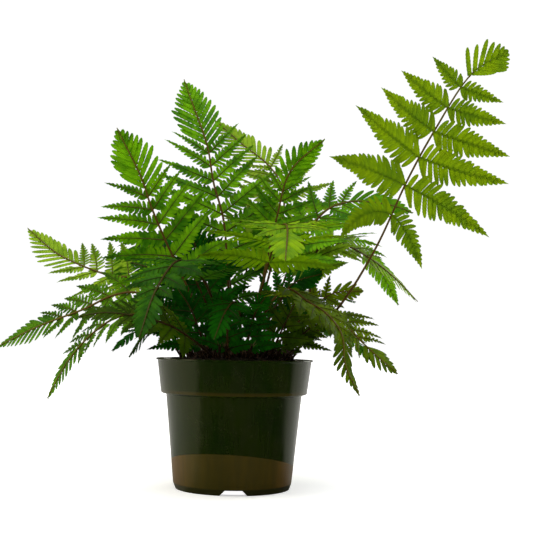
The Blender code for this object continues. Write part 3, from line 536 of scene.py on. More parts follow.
def pinnae_of(route, draw):
    """The pinnae of a frond, two to a pair, each a little different."""
    frond = route.frond
    marks = route.pair_marks()
    end = route.apex_start()
    pinnae = []
    for pair, mark in enumerate(marks):
        share = pair / frond.pairs
        after = marks[pair + 1] if pair + 1 < len(marks) else end
        before = marks[pair - 1] if pair else 2 * mark - after
        room = 0.5 * (after - before)
        size = route.fullness(mark)
        hang = frond.hang * max(0.0, 1.0 - 5.0 * share)
        for side in (-1, 1):
            length = frond.reach * size * draw.uniform(0.94, 1.04)
            angle = frond.angle - ANGLE_CLOSING * share + HANG_TURN * hang + draw.uniform(-4.0, 4.0)
            most = PINNA_ROOM * room * math.sin(math.radians(angle))
            width = min(PINNA_WIDTH * length, most)
            lift = PINNA_LIFT + draw.uniform(-6.0, 6.0)
            lobes = max(1, round(frond.lobes * length / frond.reach))
            droop = frond.droop + hang + draw.uniform(-0.08, 0.08)
            pinnae.append(Pinna(mark, pair, side, length, width, lobes, angle, lift, droop))
    return pinnae


def half_width(width, share, taper=BLADE_TAPER):
    """Half the width of a blade along its rib: full low down, drawn out at the tip."""
    return 0.5 * width * min(1.0, 0.74 + 1.4 * share) * (1.0 - share**taper)


def pinna_spine(route, pinna, root, turn, length, steps):
    """The rib of a pinna from its root: places, with the frame of the blade at each."""
    along, right, over = route.frame(pinna.mark)
    lift, swing = turn
    angle = math.radians(pinna.angle + swing)
    tilt = math.radians(pinna.lift + lift)
    start = between(along, between(right * pinna.side, over, tilt), angle)
    turned = between(over, along, math.radians(PINNA_TWIST))
    spine = []
    place = root.copy()
    for part in range(steps * SPINE_PARTS + 1):
        share = part / (steps * SPINE_PARTS)
        bend = along * (PINNA_CURVE * share) - UP * (pinna.droop * share)
        growth = (start + bend).normalized()
        if part:
            place = place + growth * (length / (steps * SPINE_PARTS))
        if part % SPINE_PARTS == 0:
            top = (turned - growth * turned.dot(growth)).normalized()
            spine.append((share, place, growth, top.cross(growth), top))
    return spine


def tip_spine(route, steps):
    """The rib of the leafy tip that ends a frond."""
    start = route.apex_start()
    spine = []
    for step in range(steps + 1):
        share = step / steps
        mark = start + (route.length - start) * share
        along, right, over = route.frame(mark)
        spine.append((share, route.at(mark), along, -right, over))
    return spine


def corners_of(name):
    """The corners of a node's solid in the frame, in millimetres, to look points up in."""
    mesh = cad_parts[name].data
    corners = KDTree(len(mesh.vertices))
    for corner in mesh.vertices:
        corners.insert(corner.co / MM, corner.index)
    corners.balance()
    return corners


def found(tries, corners):
    """The values of the first try whose point is a corner, or else of the nearest one."""
    nearest = (math.inf, None)
    for point, *values in tries:
        gap = corners.find(point)[2]
        if gap < nearest[0]:
            nearest = (gap, values)
        if gap < SAME_POINT:
            break
    return nearest[1]


def tip_tries(route):
    """For each width and lean that a leafy tip may have, a corner that its solid has then."""
    full = APEX_FULLNESS * route.frond.reach * route.fullness(route.apex_start())
    lobes = max(2, round(route.length * route.frond.apex / LOBE_PITCH))
    spine = tip_spine(route, lobes + 1)
    start = spine[0][1]
    after = start.lerp(spine[2][1], 0.5)
    share, _, growth, across, _ = spine[1]
    for scale in CLEARING_LENGTHS:
        for lean in LOBE_LEANS:
            reach = half_width(full * scale, 0.5 * share, APEX_TAPER)
            out = across * reach + growth * min(lean * reach, LOBE_ROOM * (after - start).length)
            yield start.lerp(after, FIRST_SPOTS[reach > BLUNT_FROM]) + out, full * scale, lean


def turn_tries(route, pinna, root):
    """For each turn, length and width that a pinna may have, where its solid ends then."""
    for scale in CLEARING_LENGTHS:
        length = pinna.length * scale
        for turn in CLEARING_TURNS:
            spine = pinna_spine(route, pinna, root, turn, length, pinna.lobes + 1)
            yield spine[-1][1], turn, length, pinna.width * min(1.0, scale + 0.1)


def new_piece(name, points, faces, materials, sharp=None):
    """A piece from points in millimetres, smooth apart from edges sharper than an angle."""
    mesh = bpy.data.meshes.new(name)
    mesh.from_pydata([point * MM for point in points], [], faces)
    for material in materials:
        mesh.materials.append(material)
    if sharp:
        mesh.shade_smooth()
        mesh.set_sharp_from_angle(angle=math.radians(sharp))
    piece = bpy.data.objects.new(name, mesh)
    bpy.context.scene.collection.objects.link(piece)
    return piece


class Growth:
    """The mesh of one fine piece, with what its materials read at each point."""

    def __init__(self):
        self.points = []
        self.faces = []
        self.kinds = []
        self.under = []
        self.places = []
        self.ages = []

    def point(self, place, across, along, chance, age):
        self.points.append(place)
        self.places.append((across, along, chance))
        self.ages.append(age)
        return len(self.points) - 1

    def face(self, corners, kind=0, under=0.0):
        self.faces.append(corners)
        self.kinds.append(kind)
        self.under.append(under)

    def leaflet(self, base, out, ahead, top, length, width, chance, age, bend, cup, drawn=0.0):
        """A closed leaflet with a toothed edge, thickest along its midvein.

        drawn is 0 for a blunt leaflet, and 1 for one that narrows evenly to its tip.
        """
        rows = kept(round(length / LEAFLET_ROW), *LEAFLET_ROWS)
        wide = top.cross(out).normalized()
        top = out.cross(wide).normalized()
        before = None
        bluntness = max(LEAST_BLUNT, 1.5 * length / width)
        for row in range(rows):
            share = 1.0 - (1.0 - row / rows) ** 1.25
            centre = base + out * (length * share) + ahead * (bend * length * share**2)
            centre -= top * (LEAFLET_CURL * length * share**2)
            blunt = (0.98 + 0.2 * share * (1.0 - share)) * (1.0 - share**bluntness) ** 0.55
            half = 0.5 * width * (blunt + (1.0 - share - blunt) * drawn)
            if row % 2 == 0 and row:
                half *= 1.0 - SCALLOP
            thick = LEAFLET_THICKNESS * (1.0 - THINNING * share)
            droop = top * (cup * half)
            run = share * length
            left = self.point(centre - wide * half - droop, -1.0, run, chance, age)
            right = self.point(centre + wide * half - droop, 1.0, run, chance, age)
            high = self.point(centre + top * (0.3 * thick), 0.0, run, chance, age)
            low = self.point(centre - top * thick, 0.0, run, chance, age)
            if before:
                left0, right0, high0, low0 = before
                self.face((left0, left, high, high0))
                self.face((high0, high, right, right0))
                self.face((left0, low0, low, left), under=1.0)
                self.face((low0, right0, right, low), under=1.0)
            else:
                self.face((left, high, right, low), under=1.0)
            before = (left, right, high, low)
        tip = base + out * length + ahead * (bend * length) - top * (LEAFLET_CURL * length)
        end = self.point(tip, 0.0, length, chance, age)
        left, right, high, low = before
        self.face((left, end, high))
        self.face((high, end, right))
        self.face((left, low, end), under=1.0)
        self.face((low, right, end), under=1.0)

    def tube(self, rows, sides, kind, chance, flat=0.0):
        """A closed tube through rows of centre, direction, upper side, radius and age.

        flat is the depth of the groove along its upper side, as a share of the radius.
        """
        rings = []
        for number, (centre, along, over, radius, age) in enumerate(rows):
            share = number / (len(rows) - 1)
            ring = []
            for side in range(sides):
                turn = math.tau * side / sides
                reach = radius * (1.0 - flat * max(0.0, math.sin(turn)) ** GROOVE_SHARPNESS)
                spot = centre + between(along.cross(over), over, turn) * reach
                ring.append(self.point(spot, math.cos(turn), share, chance, age))
            rings.append(ring)
        for ring, after in zip(rings, rings[1:]):
            for side in range(sides):
                next_side = (side + 1) % sides
                corners = (ring[side], after[side], after[next_side], ring[next_side])
                self.face(corners, kind)
        self.face(tuple(rings[0]), kind)
        self.face(tuple(reversed(rings[-1])), kind)

    def scale(self, centre, axes, radius, draw, habit, kind):
        """A papery scale on a stem: a slim closed blade that points up and out.

        habit gives the ranges of how far it points up, how long it is and how wide.
        """
        along, right, over = axes
        turn = draw.uniform(0.0, math.tau)
        side = between(right, over, turn)
        base = centre + side * radius
        out = (along * draw.uniform(*habit[0]) + side * draw.uniform(0.2, 0.9)).normalized()
        wide = out.cross(side).normalized()
        top = out.cross(wide).normalized()
        length = draw.uniform(*habit[1])
        half = 0.5 * draw.uniform(*habit[2])
        chance = draw.random()
        middle = base + out * (0.35 * length) + top * (0.06 * length)
        end = self.point(base + out * length, 0.0, 1.0, chance, 0.0)
        foot = self.point(base, 0.0, 0.0, chance, 0.0)
        left = self.point(middle - wide * half, -1.0, 0.4, chance, 0.0)
        right = self.point(middle + wide * half, 1.0, 0.4, chance, 0.0)
        back = self.point(middle + top * (0.44 * half), 0.0, 0.4, chance, 0.0)
        for corners in (
            (foot, left, back), (left, end, back), (back, end, right),
            (foot, back, right), (foot, right, left), (left, right, end),
        ):
            self.face(corners, kind)

    def make(self, name, materials, sharp):
        """The piece itself, with what its materials read."""
        piece = new_piece(name, self.points, self.faces, materials, sharp)
        mesh = piece.data
        mesh.polygons.foreach_set("material_index", self.kinds)
        for label, kind, domain, key, values in (
            ("leaf_place", "FLOAT_VECTOR", "POINT", "vector", self.places),
            ("leaf_age", "FLOAT", "POINT", "value", self.ages),
            ("leaf_under", "FLOAT", "FACE", "value", self.under),
        ):
            layer = mesh.attributes.new(label, kind, domain)
            layer.data.foreach_set(key, np.array(values, dtype=np.float32).ravel())
        mesh.update()
        return piece


def rolled(row, turn):
    """A row of a rib's spine, turned about the rib."""
    share, place, along, across, top = row
    new_top = between(top, across, turn)
    return share, place, along, new_top.cross(along), new_top


def leafy_apex(growth, route, width, lean, last, draw):
    """The simple lobes that close the frond's end, side by side along its rachis.

    Where there is room below them, before the last pair of pinnae, it adds a longer pair.
    """
    full = route.length * route.frond.apex
    count = max(5, round(full / APEX_PITCH))
    pitch = full / count
    chance = draw.uniform(0.3, 0.65)
    bare = route.apex_start() - last.mark - LOBE_APART * last.width
    for number in range(-max(0, int(bare / pitch + 0.5)), count):
        for side in (-1, 1):
            share = (number + (0.5 if side < 0 else 1.0)) / count
            if share > LOBES_END:
                continue
            mark = route.apex_start() + full * share
            along, right, top = route.frame(mark)
            reach = half_width(width, max(0.0, share), APEX_TAPER) * draw.uniform(0.94, 1.04)
            reach *= 1.0 + LOBE_GROWTH * max(0.0, -share)
            slope = lean + LOBE_SLOPE + LOBE_CLOSING * share + draw.uniform(-0.05, 0.05)
            out = (along * slope - right * side).normalized()
            tilt = -side * math.radians(draw.uniform(*SHINGLE_TILT))
            turned = between(top, top.cross(out), tilt)
            stretch = math.hypot(1.0, slope)
            length = reach * stretch * LOBE_REACH
            wide = pitch / stretch * (LEAFLET_FILL + LOBE_WIDENING * kept(share, -0.2))
            age = 1.0 - route.frond.apex * (1.0 - share)
            cup = draw.uniform(*LOBE_CUP)
            shade = chance + draw.uniform(-0.12, 0.12)
            place = route.at(mark)
            growth.leaflet(place, out, along, turned, length, wide, shade, age, LOBE_BEND, cup)
    spine = tip_spine(route, 2 * count)
    _, place, along, across, top = spine[-5]
    end = (spine[-1][1] - place).length
    growth.leaflet(place, along, across, top, end, 0.5 * end, chance, 1.0, 0.0, 0.1, 0.8)


def leafy_rib(growth, spine, width, count, draw, age, radius, kind):
    """A rib with leaflets on both sides: spine has two rows for each leaflet."""
    chance = draw.uniform(0.15, 0.85)
    cup = draw.uniform(0.4, 1.6) * LEAFLET_CUP
    roll = math.radians(draw.uniform(-RIB_ROLL, RIB_ROLL))
    spine = [rolled(row, roll * row[0]) for row in spine]
    run = sum((after[1] - row[1]).length for row, after in zip(spine, spine[1:]))
    rows = []
    for step in range(0, len(spine) - 2, 2):
        share, place, along, _, top = spine[step]
        if step == 0:
            place = place - along * RIB_ROOT
        rows.append((place, along, top, radius * (1.0 - RIB_TAPER * share), age))
    growth.tube(rows, 4, kind, chance)
    for number in range(count):
        for side in (-1, 1):
            step = 2 * number + (1 if side < 0 else 0)
            share, place, along, across, top = spine[step]
            if share > LEAFLETS_END:
                continue
            pitch = 2.0 * (spine[step + 1][1] - spine[step][1]).length
            closing = BLADE_CLOSING * share + TIP_CLOSING * max(0.0, share - TIP_FROM)
            slant = (LEAFLET_ANGLE if step else FIRST_ANGLE) - closing
            slant = math.radians(slant + draw.uniform(-4.0, 4.0))
            out = between(along, across * side, slant)
            ahead = half_width(width, share) / math.tan(slant) / run
            length = LEAFLET_REACH * half_width(width, min(0.98, share + 0.7 * ahead))
            length *= draw.uniform(0.94, 1.05) / math.sin(slant)
            if length < LEAST_LEAFLET:
                continue
            tilt = -side * math.radians(draw.uniform(*SHINGLE_TILT))
            turned = between(top, top.cross(out), tilt)
            lift = math.radians(draw.uniform(-LEAFLET_LIFT, LEAFLET_LIFT))
            out = between(out, turned, lift).normalized()
            turned = (turned - out * turned.dot(out)).normalized()
            wide = pitch * (LEAFLET_FILL + LEAFLET_CLOSING * share**2) / math.sin(slant)
            wide = min(wide, 0.8 * length + 0.6)
            shade = 0.65 * chance + 0.35 * draw.random()
            back = LEAFLET_BACK * wide
            place = place - out * back
            length += back
            growth.leaflet(place, out, along, turned, length, wide, shade, age, LEAFLET_BEND, cup)
    share, place, along, across, top = spine[max(len(spine) - 7, 3 * len(spine) // 4)]
    end = (spine[-1][1] - place).length
    wide = 1.7 * half_width(width, share) + 0.4
    growth.leaflet(place, along, across, top, end, wide, chance, age, 0.0, cup, 1.0)


def fine_frond(route, draw, extra, materials):
    """One frond with all its leaflets, scales at its foot and a grooved rachis."""
    growth = Growth()
    frond = route.frond
    corners = corners_of(frond.name)
    stout = STOUTNESS * kept((route.length - STOUT_FROM) / STOUT_OVER) - SLIMNESS
    steps = max(12, round((route.length + STIPE_SINK) / RACHIS_STEP))
    chance = extra.random()
    rows = []
    for step in range(steps + 1):
        mark = -STIPE_SINK + (route.length + STIPE_SINK) * step / steps
        share = max(0.0, mark / route.length)
        along, _, over = route.frame(mark)
        radius = route.radius(mark) * (1.0 + stout * kept((share - frond.first) / 0.2))
        radius *= 1.0 - TIP_THINNING * max(0.0, share - 0.9) / 0.1
        rows.append((route.at(mark) + over * (0.1 * radius), along, over, radius * 0.92, share))
    growth.tube(rows, 8, 1, chance, flat=GROOVE)
    pinnae = pinnae_of(route, draw)
    for pinna in pinnae:
        root = route.root(pinna.pair, pinna.side)
        turn, length, width = found(turn_tries(route, pinna, root), corners)
        count = max(5, round(length / (LEAFLET_PITCH + LEAFLET_PITCH_GROWTH * length)))
        spine = pinna_spine(route, pinna, root, turn, length, 2 * count)
        age = pinna.mark / route.length
        radius = RIB_RADIUS + RIB_GROWTH * length
        leafy_rib(growth, spine, width, count, extra, age, radius, 2)
    leafy_apex(growth, route, *found(tip_tries(route), corners), pinnae[-1], extra)
    for _ in range(FOOT_SCALES):
        mark = extra.random() ** 2.2 * FOOT_SHARE * route.length + 1.0
        radius = 0.8 * route.radius(mark)
        growth.scale(route.at(mark), route.frame(mark), radius, extra, FOOT_HABIT, 3)
    piece = growth.make("fine_" + frond.name, materials, FROND_SHARP)
    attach(piece, "root")
    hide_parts(frond.name)


def fill(tree, node, inputs):
    """Joins or sets a node's inputs."""
    for key, value in inputs.items():
        if isinstance(value, bpy.types.NodeSocket):
            tree.links.new(value, node.inputs[key])
        else:
            node.inputs[key].default_value = value


def wire(tree, kind, inputs=None, **settings):
    """Adds a node, sets it up, and joins or sets its inputs."""
    node = tree.nodes.new(kind)
    for name, value in settings.items():
        setattr(node, name, value)
    fill(tree, node, inputs or {})
    return node


def sums(tree, operation, *values, clamp=False):
    """A Math node's result."""
    inputs = dict(enumerate(values))
    return wire(tree, "ShaderNodeMath", inputs, operation=operation, use_clamp=clamp).outputs[0]


def times(tree, one, two, more=None, clamp=False):
    """One value times another, with more added."""
    values = [one, two] if more is None else [one, two, more]
    return sums(tree, "MULTIPLY" if more is None else "MULTIPLY_ADD", *values, clamp=clamp)


def ranged(tree, value, low, high, to_low=0.0, to_high=1.0):
    """A value moved smoothly from one range to another, and kept in it."""
    inputs = {0: value, 1: low, 2: high, 3: to_low, 4: to_high}
    return wire(tree, "ShaderNodeMapRange", inputs, interpolation_type="SMOOTHSTEP").outputs[0]


def blended(tree, share, *colours):
    """Two colours mixed by a share. A colour is a socket or three numbers."""
    inputs = {0: share}
    for key, colour in zip((6, 7), colours):
        inputs[key] = colour if isinstance(colour, bpy.types.NodeSocket) else (*colour, 1.0)
    return wire(tree, "ShaderNodeMix", inputs, data_type="RGBA").outputs[2]


def carried(tree, name, output="Fac"):
    """What the mesh carries at each point or face."""
    return wire(tree, "ShaderNodeAttribute", attribute_name=name).outputs[output]


def parted(tree, vector):
    """The three numbers of a vector."""
    return wire(tree, "ShaderNodeSeparateXYZ", {0: vector}).outputs


def new_group(name, ins, outs):
    """An empty node group with named inputs and outputs, each with its start value."""
    tree = bpy.data.node_groups.new(name, "ShaderNodeTree")
    for label, kind, value in ins:
        socket = tree.interface.new_socket(label, in_out="INPUT", socket_type=kind)
        socket.default_value = value
    for label, kind in outs:
        tree.interface.new_socket(label, in_out="OUTPUT", socket_type=kind)
    return tree, tree.nodes.new("NodeGroupInput"), tree.nodes.new("NodeGroupOutput")


def make_cloudy_group():
    """Soft patches of two sizes, and a fine grain, from the piece's own coordinates."""
    tree, given, result = new_group(
        "cloudy",
        [("Patches per metre", "NodeSocketFloat", 60.0), ("Grain", "NodeSocketFloat", 900.0)],
        [("Patches", "NodeSocketFloat"), ("Mottle", "NodeSocketFloat"), ("Grain", "NodeSocketFloat")],
    )
    where = wire(tree, "ShaderNodeTexCoord").outputs["Object"]
    scale = given.outputs["Patches per metre"]
    finer = times(tree, scale, 4.7)
    for label, size, detail in (
        ("Patches", scale, 2.0), ("Mottle", finer, 3.0), ("Grain", given.outputs["Grain"], 2.0)
    ):
        inputs = {"Vector": where, "Scale": size, "Detail": detail}
        spots = wire(tree, "ShaderNodeTexNoise", inputs).outputs[0]
        fill(tree, result, {label: ranged(tree, spots, 0.3, 0.7)})


def clouds(tree, patches=60.0, grain=900.0):
    """The patches, the mottle and the grain of the cloudy group, placed in a material."""
    inputs = {"Patches per metre": patches, "Grain": grain}
    cloudy = wire(tree, "ShaderNodeGroup", inputs, node_tree=bpy.data.node_groups["cloudy"])
    return [cloudy.outputs[label] for label in ("Patches", "Mottle", "Grain")]


def make_vein_group():
    """A leaflet's veins: the midvein, and side veins that slant towards its tip."""
    tree, given, result = new_group(
        "leaflet_veins",
        [("Veins per mm", "NodeSocketFloat", 0.75), ("Slant", "NodeSocketFloat", 1.4)],
        [("Vein", "NodeSocketFloat"), ("Edge", "NodeSocketFloat"), ("Height", "NodeSocketFloat")],
    )
    place = parted(tree, carried(tree, "leaf_place", "Vector"))
    off = sums(tree, "ABSOLUTE", place[0])
    run = times(tree, place[1], given.outputs["Veins per mm"])
    run = sums(tree, "SUBTRACT", run, times(tree, off, given.outputs["Slant"]))
    wave = sums(tree, "ABSOLUTE", sums(tree, "SUBTRACT", sums(tree, "FRACT", run), 0.5))
    side = ranged(tree, wave, 0.02, 0.16, 1.0, 0.0)
    side = times(tree, side, ranged(tree, off, 0.55, 0.95, 0.75, 0.0))
    middle = ranged(tree, off, 0.05, 0.22, 1.0, 0.0)
    vein = sums(tree, "MAXIMUM", middle, side)
    swell = ranged(tree, wave, 0.0, 0.5, 0.0, 1.0)
    height = sums(tree, "SUBTRACT", times(tree, swell, 0.55), middle)
    edge = ranged(tree, off, 0.68, 1.0)
    fill(tree, result, {"Vein": vein, "Edge": edge, "Height": height})


def new_material(name, roughness, specular=0.5):
    """A material's tree and its main shader, with its steady values set."""
    material = bpy.data.materials.new(name)
    material.use_nodes = True
    tree = material.node_tree
    shader = tree.nodes["Principled BSDF"]
    fill(tree, shader, {"Roughness": roughness, "Specular IOR Level": specular})
    return material, tree, shader


def bumped(tree, shader, height, strength, distance):
    """Gives a shader its bumps, and returns their normal."""
    inputs = {"Height": height, "Strength": strength, "Distance": distance}
    normal = wire(tree, "ShaderNodeBump", inputs).outputs[0]
    fill(tree, shader, {"Normal": normal})
    return normal


def make_leaf(name, deep, fresh, old, back, glow, gloss):
    """Fern leaf: deep to fresh green from leaflet to leaflet, with paler undersides, and painted
    shade near the rib and along each leaflet's edges.
    """
    material, tree, shader = new_material(name, 0.5, gloss)
    _, run, chance = parted(tree, carried(tree, "leaf_place", "Vector"))
    under, age = carried(tree, "leaf_under"), carried(tree, "leaf_age")
    patches, mottle, grain = clouds(tree, 26.0, 1500.0)
    veins = wire(tree, "ShaderNodeGroup", node_tree=bpy.data.node_groups["leaflet_veins"])
    vein, edge, height = (veins.outputs[label] for label in ("Vein", "Edge", "Height"))
    share = times(tree, patches, 0.45, times(tree, chance, 0.55))
    share = times(tree, sums(tree, "SUBTRACT", mottle, 0.5), 0.3, share, clamp=True)
    share = ranged(tree, share, 0.2, 0.8)
    # Painted shade: deeper green near the rib, within 4.5 mm of a leaflet's base
    share = times(tree, share, ranged(tree, run, 0.0, 4.5, 0.45, 1.0))
    upper = blended(tree, share, deep, fresh)
    young = ranged(tree, age, 0.55, 1.0, 0.0, 0.2)
    upper = blended(tree, young, upper, fresh)
    # Painted shade: deeper green at the leaflet's edges, as in the shaded gaps between leaflets
    upper = blended(tree, times(tree, edge, 0.6), upper, deep)
    edge = times(tree, edge, ranged(tree, mottle, 0.5, 1.0, 0.0, 0.7))
    upper = blended(tree, edge, upper, old)
    upper = blended(tree, times(tree, vein, 0.16), upper, back)
    lower = blended(tree, times(tree, share, 0.7), back, fresh)
    lower = blended(tree, times(tree, vein, 0.14), lower, glow)
    # Painted shade on the underside as well, darkest at the rib
    shade = times(tree, ranged(tree, run, 0.0, 4.5, 0.5, 0.0), under)
    lower = blended(tree, shade, lower, deep)
    colour = blended(tree, under, upper, lower)
    rough = times(tree, under, 0.15, ranged(tree, mottle, 0.0, 1.0, 0.40, 0.56))
    fill(tree, shader, {"Base Color": colour, "Roughness": rough})
    normal = bumped(tree, shader, times(tree, grain, 0.12, height), 0.55, 0.00035)
    through = blended(tree, 0.5, colour, glow)
    light = wire(tree, "ShaderNodeBsdfTranslucent", {"Color": through, "Normal": normal})
    inputs = {0: LIGHT_THROUGH, 1: shader.outputs[0], 2: light.outputs[0]}
    mixed = wire(tree, "ShaderNodeMixShader", inputs).outputs[0]
    fill(tree, tree.nodes["Material Output"], {"Surface": mixed})
    return material


def make_stem(name, foot, middle, top):
    """Stipe and rachis: brown at the foot, and greener towards the tip of the frond."""
    material, tree, shader = new_material(name, 0.5, 0.06)
    _, mottle, grain = clouds(tree, 90.0)
    where = sums(tree, "SUBTRACT", mottle, 0.5)
    where = times(tree, where, 0.22, carried(tree, "leaf_age"))
    colour = blended(tree, ranged(tree, where, 0.04, 0.34), foot, middle)
    colour = blended(tree, ranged(tree, where, 0.45, 0.95), colour, top)
    dark = times(tree, ranged(tree, grain, 0.45, 1.0), 0.45)
    colour = blended(tree, dark, colour, foot)
    rough = ranged(tree, mottle, 0.0, 1.0, 0.36, 0.62)
    fill(tree, shader, {"Base Color": colour, "Roughness": rough})
    bumped(tree, shader, grain, 0.5, 0.0003)
    return material


def make_scale_material():
    """Rusty scales, paler towards their tips."""
    material, tree, shader = new_material("rusty_scales", 0.65)
    place = parted(tree, carried(tree, "leaf_place", "Vector"))
    colour = blended(tree, place[2], (0.022, 0.008, 0.002), (0.090, 0.036, 0.010))
    colour = blended(tree, times(tree, place[1], 0.5), colour, (0.16, 0.085, 0.028))
    fill(tree, shader, {"Base Color": colour})
    bumped(tree, shader, clouds(tree)[2], 0.4, 0.0002)
    return material


def make_pot_plastic():
    """Dark olive plastic, with faint moulding streaks, and a painted reflection of a brown table
    round the foot.
    """
    material, tree, shader = new_material("dark_olive_plastic", 0.2, 0.3)
    shader.inputs["Specular Tint"].default_value = (1.0, 0.92, 0.62, 1.0)
    where = wire(tree, "ShaderNodeTexCoord").outputs["Object"]
    x, y, z = parted(tree, where)
    turn = sums(tree, "ARCTAN2", y, x)
    patches, mottle, grain = clouds(tree, 22.0, 700.0)
    colour = blended(tree, patches, (0.0030, 0.0108, 0.0004), (0.0078, 0.0142, 0.0006))
    # Painted reflection of a brown table: a band round the foot whose top arches higher at the front,
    # dark olive-grey on the bevel; inside it the plastic is rougher
    tilt = sums(tree, "COSINE", sums(tree, "ADD", turn, TABLE_REFLECTION_TURN))
    top = times(tree, tilt, TABLE_REFLECTION_RISE * MM, TABLE_REFLECTION_HEIGHT * MM)
    # below marks the band of the painted table reflection
    below = ranged(tree, sums(tree, "SUBTRACT", top, z), -0.0005, 0.0009)
    table_reflection = blended(tree, patches, (0.034, 0.026, 0.0003), (0.052, 0.034, 0.0006))
    # Painted sheen: towards the left and right sides the painted table reflection turns orange
    painted_side_sheen = ranged(tree, sums(tree, "ABSOLUTE", sums(tree, "COSINE", turn)), 0.55, 1.0, 0.0, 0.75)
    table_reflection = blended(tree, painted_side_sheen, table_reflection, (0.120, 0.052, 0.0030))
    table_reflection = blended(tree, ranged(tree, z, 0.0062, 0.0052), table_reflection, (0.020, 0.019, 0.0030))
    colour = blended(tree, times(tree, below, 0.92), colour, table_reflection)
    rise = wire(tree, "ShaderNodeCombineXYZ", {0: x, 1: y, 2: times(tree, z, 0.03)})
    inputs = {"Vector": rise.outputs[0], "Scale": 210.0, "Detail": 3.0}
    streaks = ranged(tree, wire(tree, "ShaderNodeTexNoise", inputs).outputs[0], 0.35, 0.65)
    colour = blended(tree, times(tree, streaks, 0.25), colour, (0.014, 0.018, 0.004))
    lip = sums(tree, "SUBTRACT", ranged(tree, z, 0.0905, 0.0915), ranged(tree, z, 0.0925, 0.0950))
    colour = blended(tree, times(tree, lip, 0.8), colour, (0.030, 0.022, 0.003))
    specks = times(tree, ranged(tree, grain, 0.8, 1.0), ranged(tree, mottle, 0.6, 1.0))
    colour = blended(tree, times(tree, specks, 0.12), colour, (0.08, 0.07, 0.04))
    rough = times(tree, streaks, 0.10, ranged(tree, mottle, 0.0, 1.0, 0.10, 0.15))
    rough = times(tree, sums(tree, "SUBTRACT", 0.36, rough), below, rough)
    fill(tree, shader, {"Base Color": colour, "Roughness": rough})
    bumped(tree, shader, times(tree, grain, 0.05, streaks), 0.06, 0.0003)
    return material


def make_earth(name, dark, light, roughness=0.95):
    """Peat and bark: patchy brown with a crumbly surface."""
    material, tree, shader = new_material(name, roughness, 0.25)
    patches, mottle, grain = clouds(tree, 130.0, 1400.0)
    share = times(tree, mottle, 0.6, times(tree, patches, 0.4))
    colour = blended(tree, share, dark, light)
    colour = blended(tree, ranged(tree, grain, 0.6, 1.0, 0.0, 0.6), colour, dark)
    fill(tree, shader, {"Base Color": colour})
    bumped(tree, shader, times(tree, grain, 0.4, mottle), 0.8, 0.0006)
    return material


def collar_inner_radius(height):
    """The inner radius of the pot's collar at a height."""
    share = (height - COLLAR_BOTTOM) / (RIM_HEIGHT - RIM_LIP - COLLAR_BOTTOM)
    return COLLAR_BOTTOM_RADIUS + (COLLAR_TOP_RADIUS - COLLAR_BOTTOM_RADIUS) * share - WALL


def soil_radius():
    """The radius of the soil's upper edge, which just clears the pot."""
    return collar_inner_radius(SOIL_EDGE) - SOIL_GAP


def rounded(profile, radii):
    """A profile with its corners rounded: four points for each corner with a radius."""
    result = []
    for number, corner in enumerate(profile):
        radius = radii.get(number, 0.0)
        if not radius:
            result.append(corner)
            continue
        here = Vector(corner)
        before = Vector(profile[number - 1]) - here
        after = Vector(profile[number + 1]) - here
        start = here + before.normalized() * min(radius, 0.45 * before.length)
        end = here + after.normalized() * min(radius, 0.45 * after.length)
        for t in (0.0, 0.33, 0.67, 1.0):
            spot = start * (1 - t) ** 2 + here * (2 * t * (1 - t)) + end * t**2
            result.append((spot.x, spot.y))
    return result


def revolved(profile, segments):
    """Points and faces of a profile turned round Z, from the axis below to the axis above."""
    points = [Vector((0.0, 0.0, profile[0][1]))]
    for radius, height in profile[1:-1]:
        points += circle(radius, segments, height)
    points.append(Vector((0.0, 0.0, profile[-1][1])))
    last = len(points) - 1
    top = last - segments
    faces = []
    for step in range(segments):
        after = (step + 1) % segments
        faces.append((0, 1 + after, 1 + step))
        for low in range(1, top, segments):
            high = low + segments
            faces.append((low + step, low + after, high + after, high + step))
        faces.append((top + step, top + after, last))
    return points, faces


def prism(name, corners, start, end):
    """A closed prism: a convex outline of points swept from start to end."""
    count = len(corners)
    points = [corner + start for corner in corners] + [corner + end for corner in corners]
    faces = [tuple(reversed(range(count))), tuple(range(count, 2 * count))]
    for step in range(count):
        after = (step + 1) % count
        faces.append((step, after, count + after, count + step))
    thing = new_piece(name, points, faces, [])
    work = bmesh.new()
    work.from_mesh(thing.data)
    bmesh.ops.recalc_face_normals(work, faces=work.faces)
    work.to_mesh(thing.data)
    work.free()
    return thing


def cut_away(thing, cutters):
    """Subtracts the cutters from a piece with exact Booleans, and takes the cutters away."""
    for cutter in cutters:
        boolean = thing.modifiers.new(cutter.name, "BOOLEAN")
        boolean.operation = "DIFFERENCE"
        boolean.solver = "EXACT"
        boolean.object = cutter
    bpy.context.view_layer.update()
    cut = bpy.data.meshes.new_from_object(thing.evaluated_get(bpy.context.view_layer.depsgraph))
    thing.modifiers.clear()
    thing.data = cut
    for cutter in cutters:
        bpy.data.objects.remove(cutter, do_unlink=True)


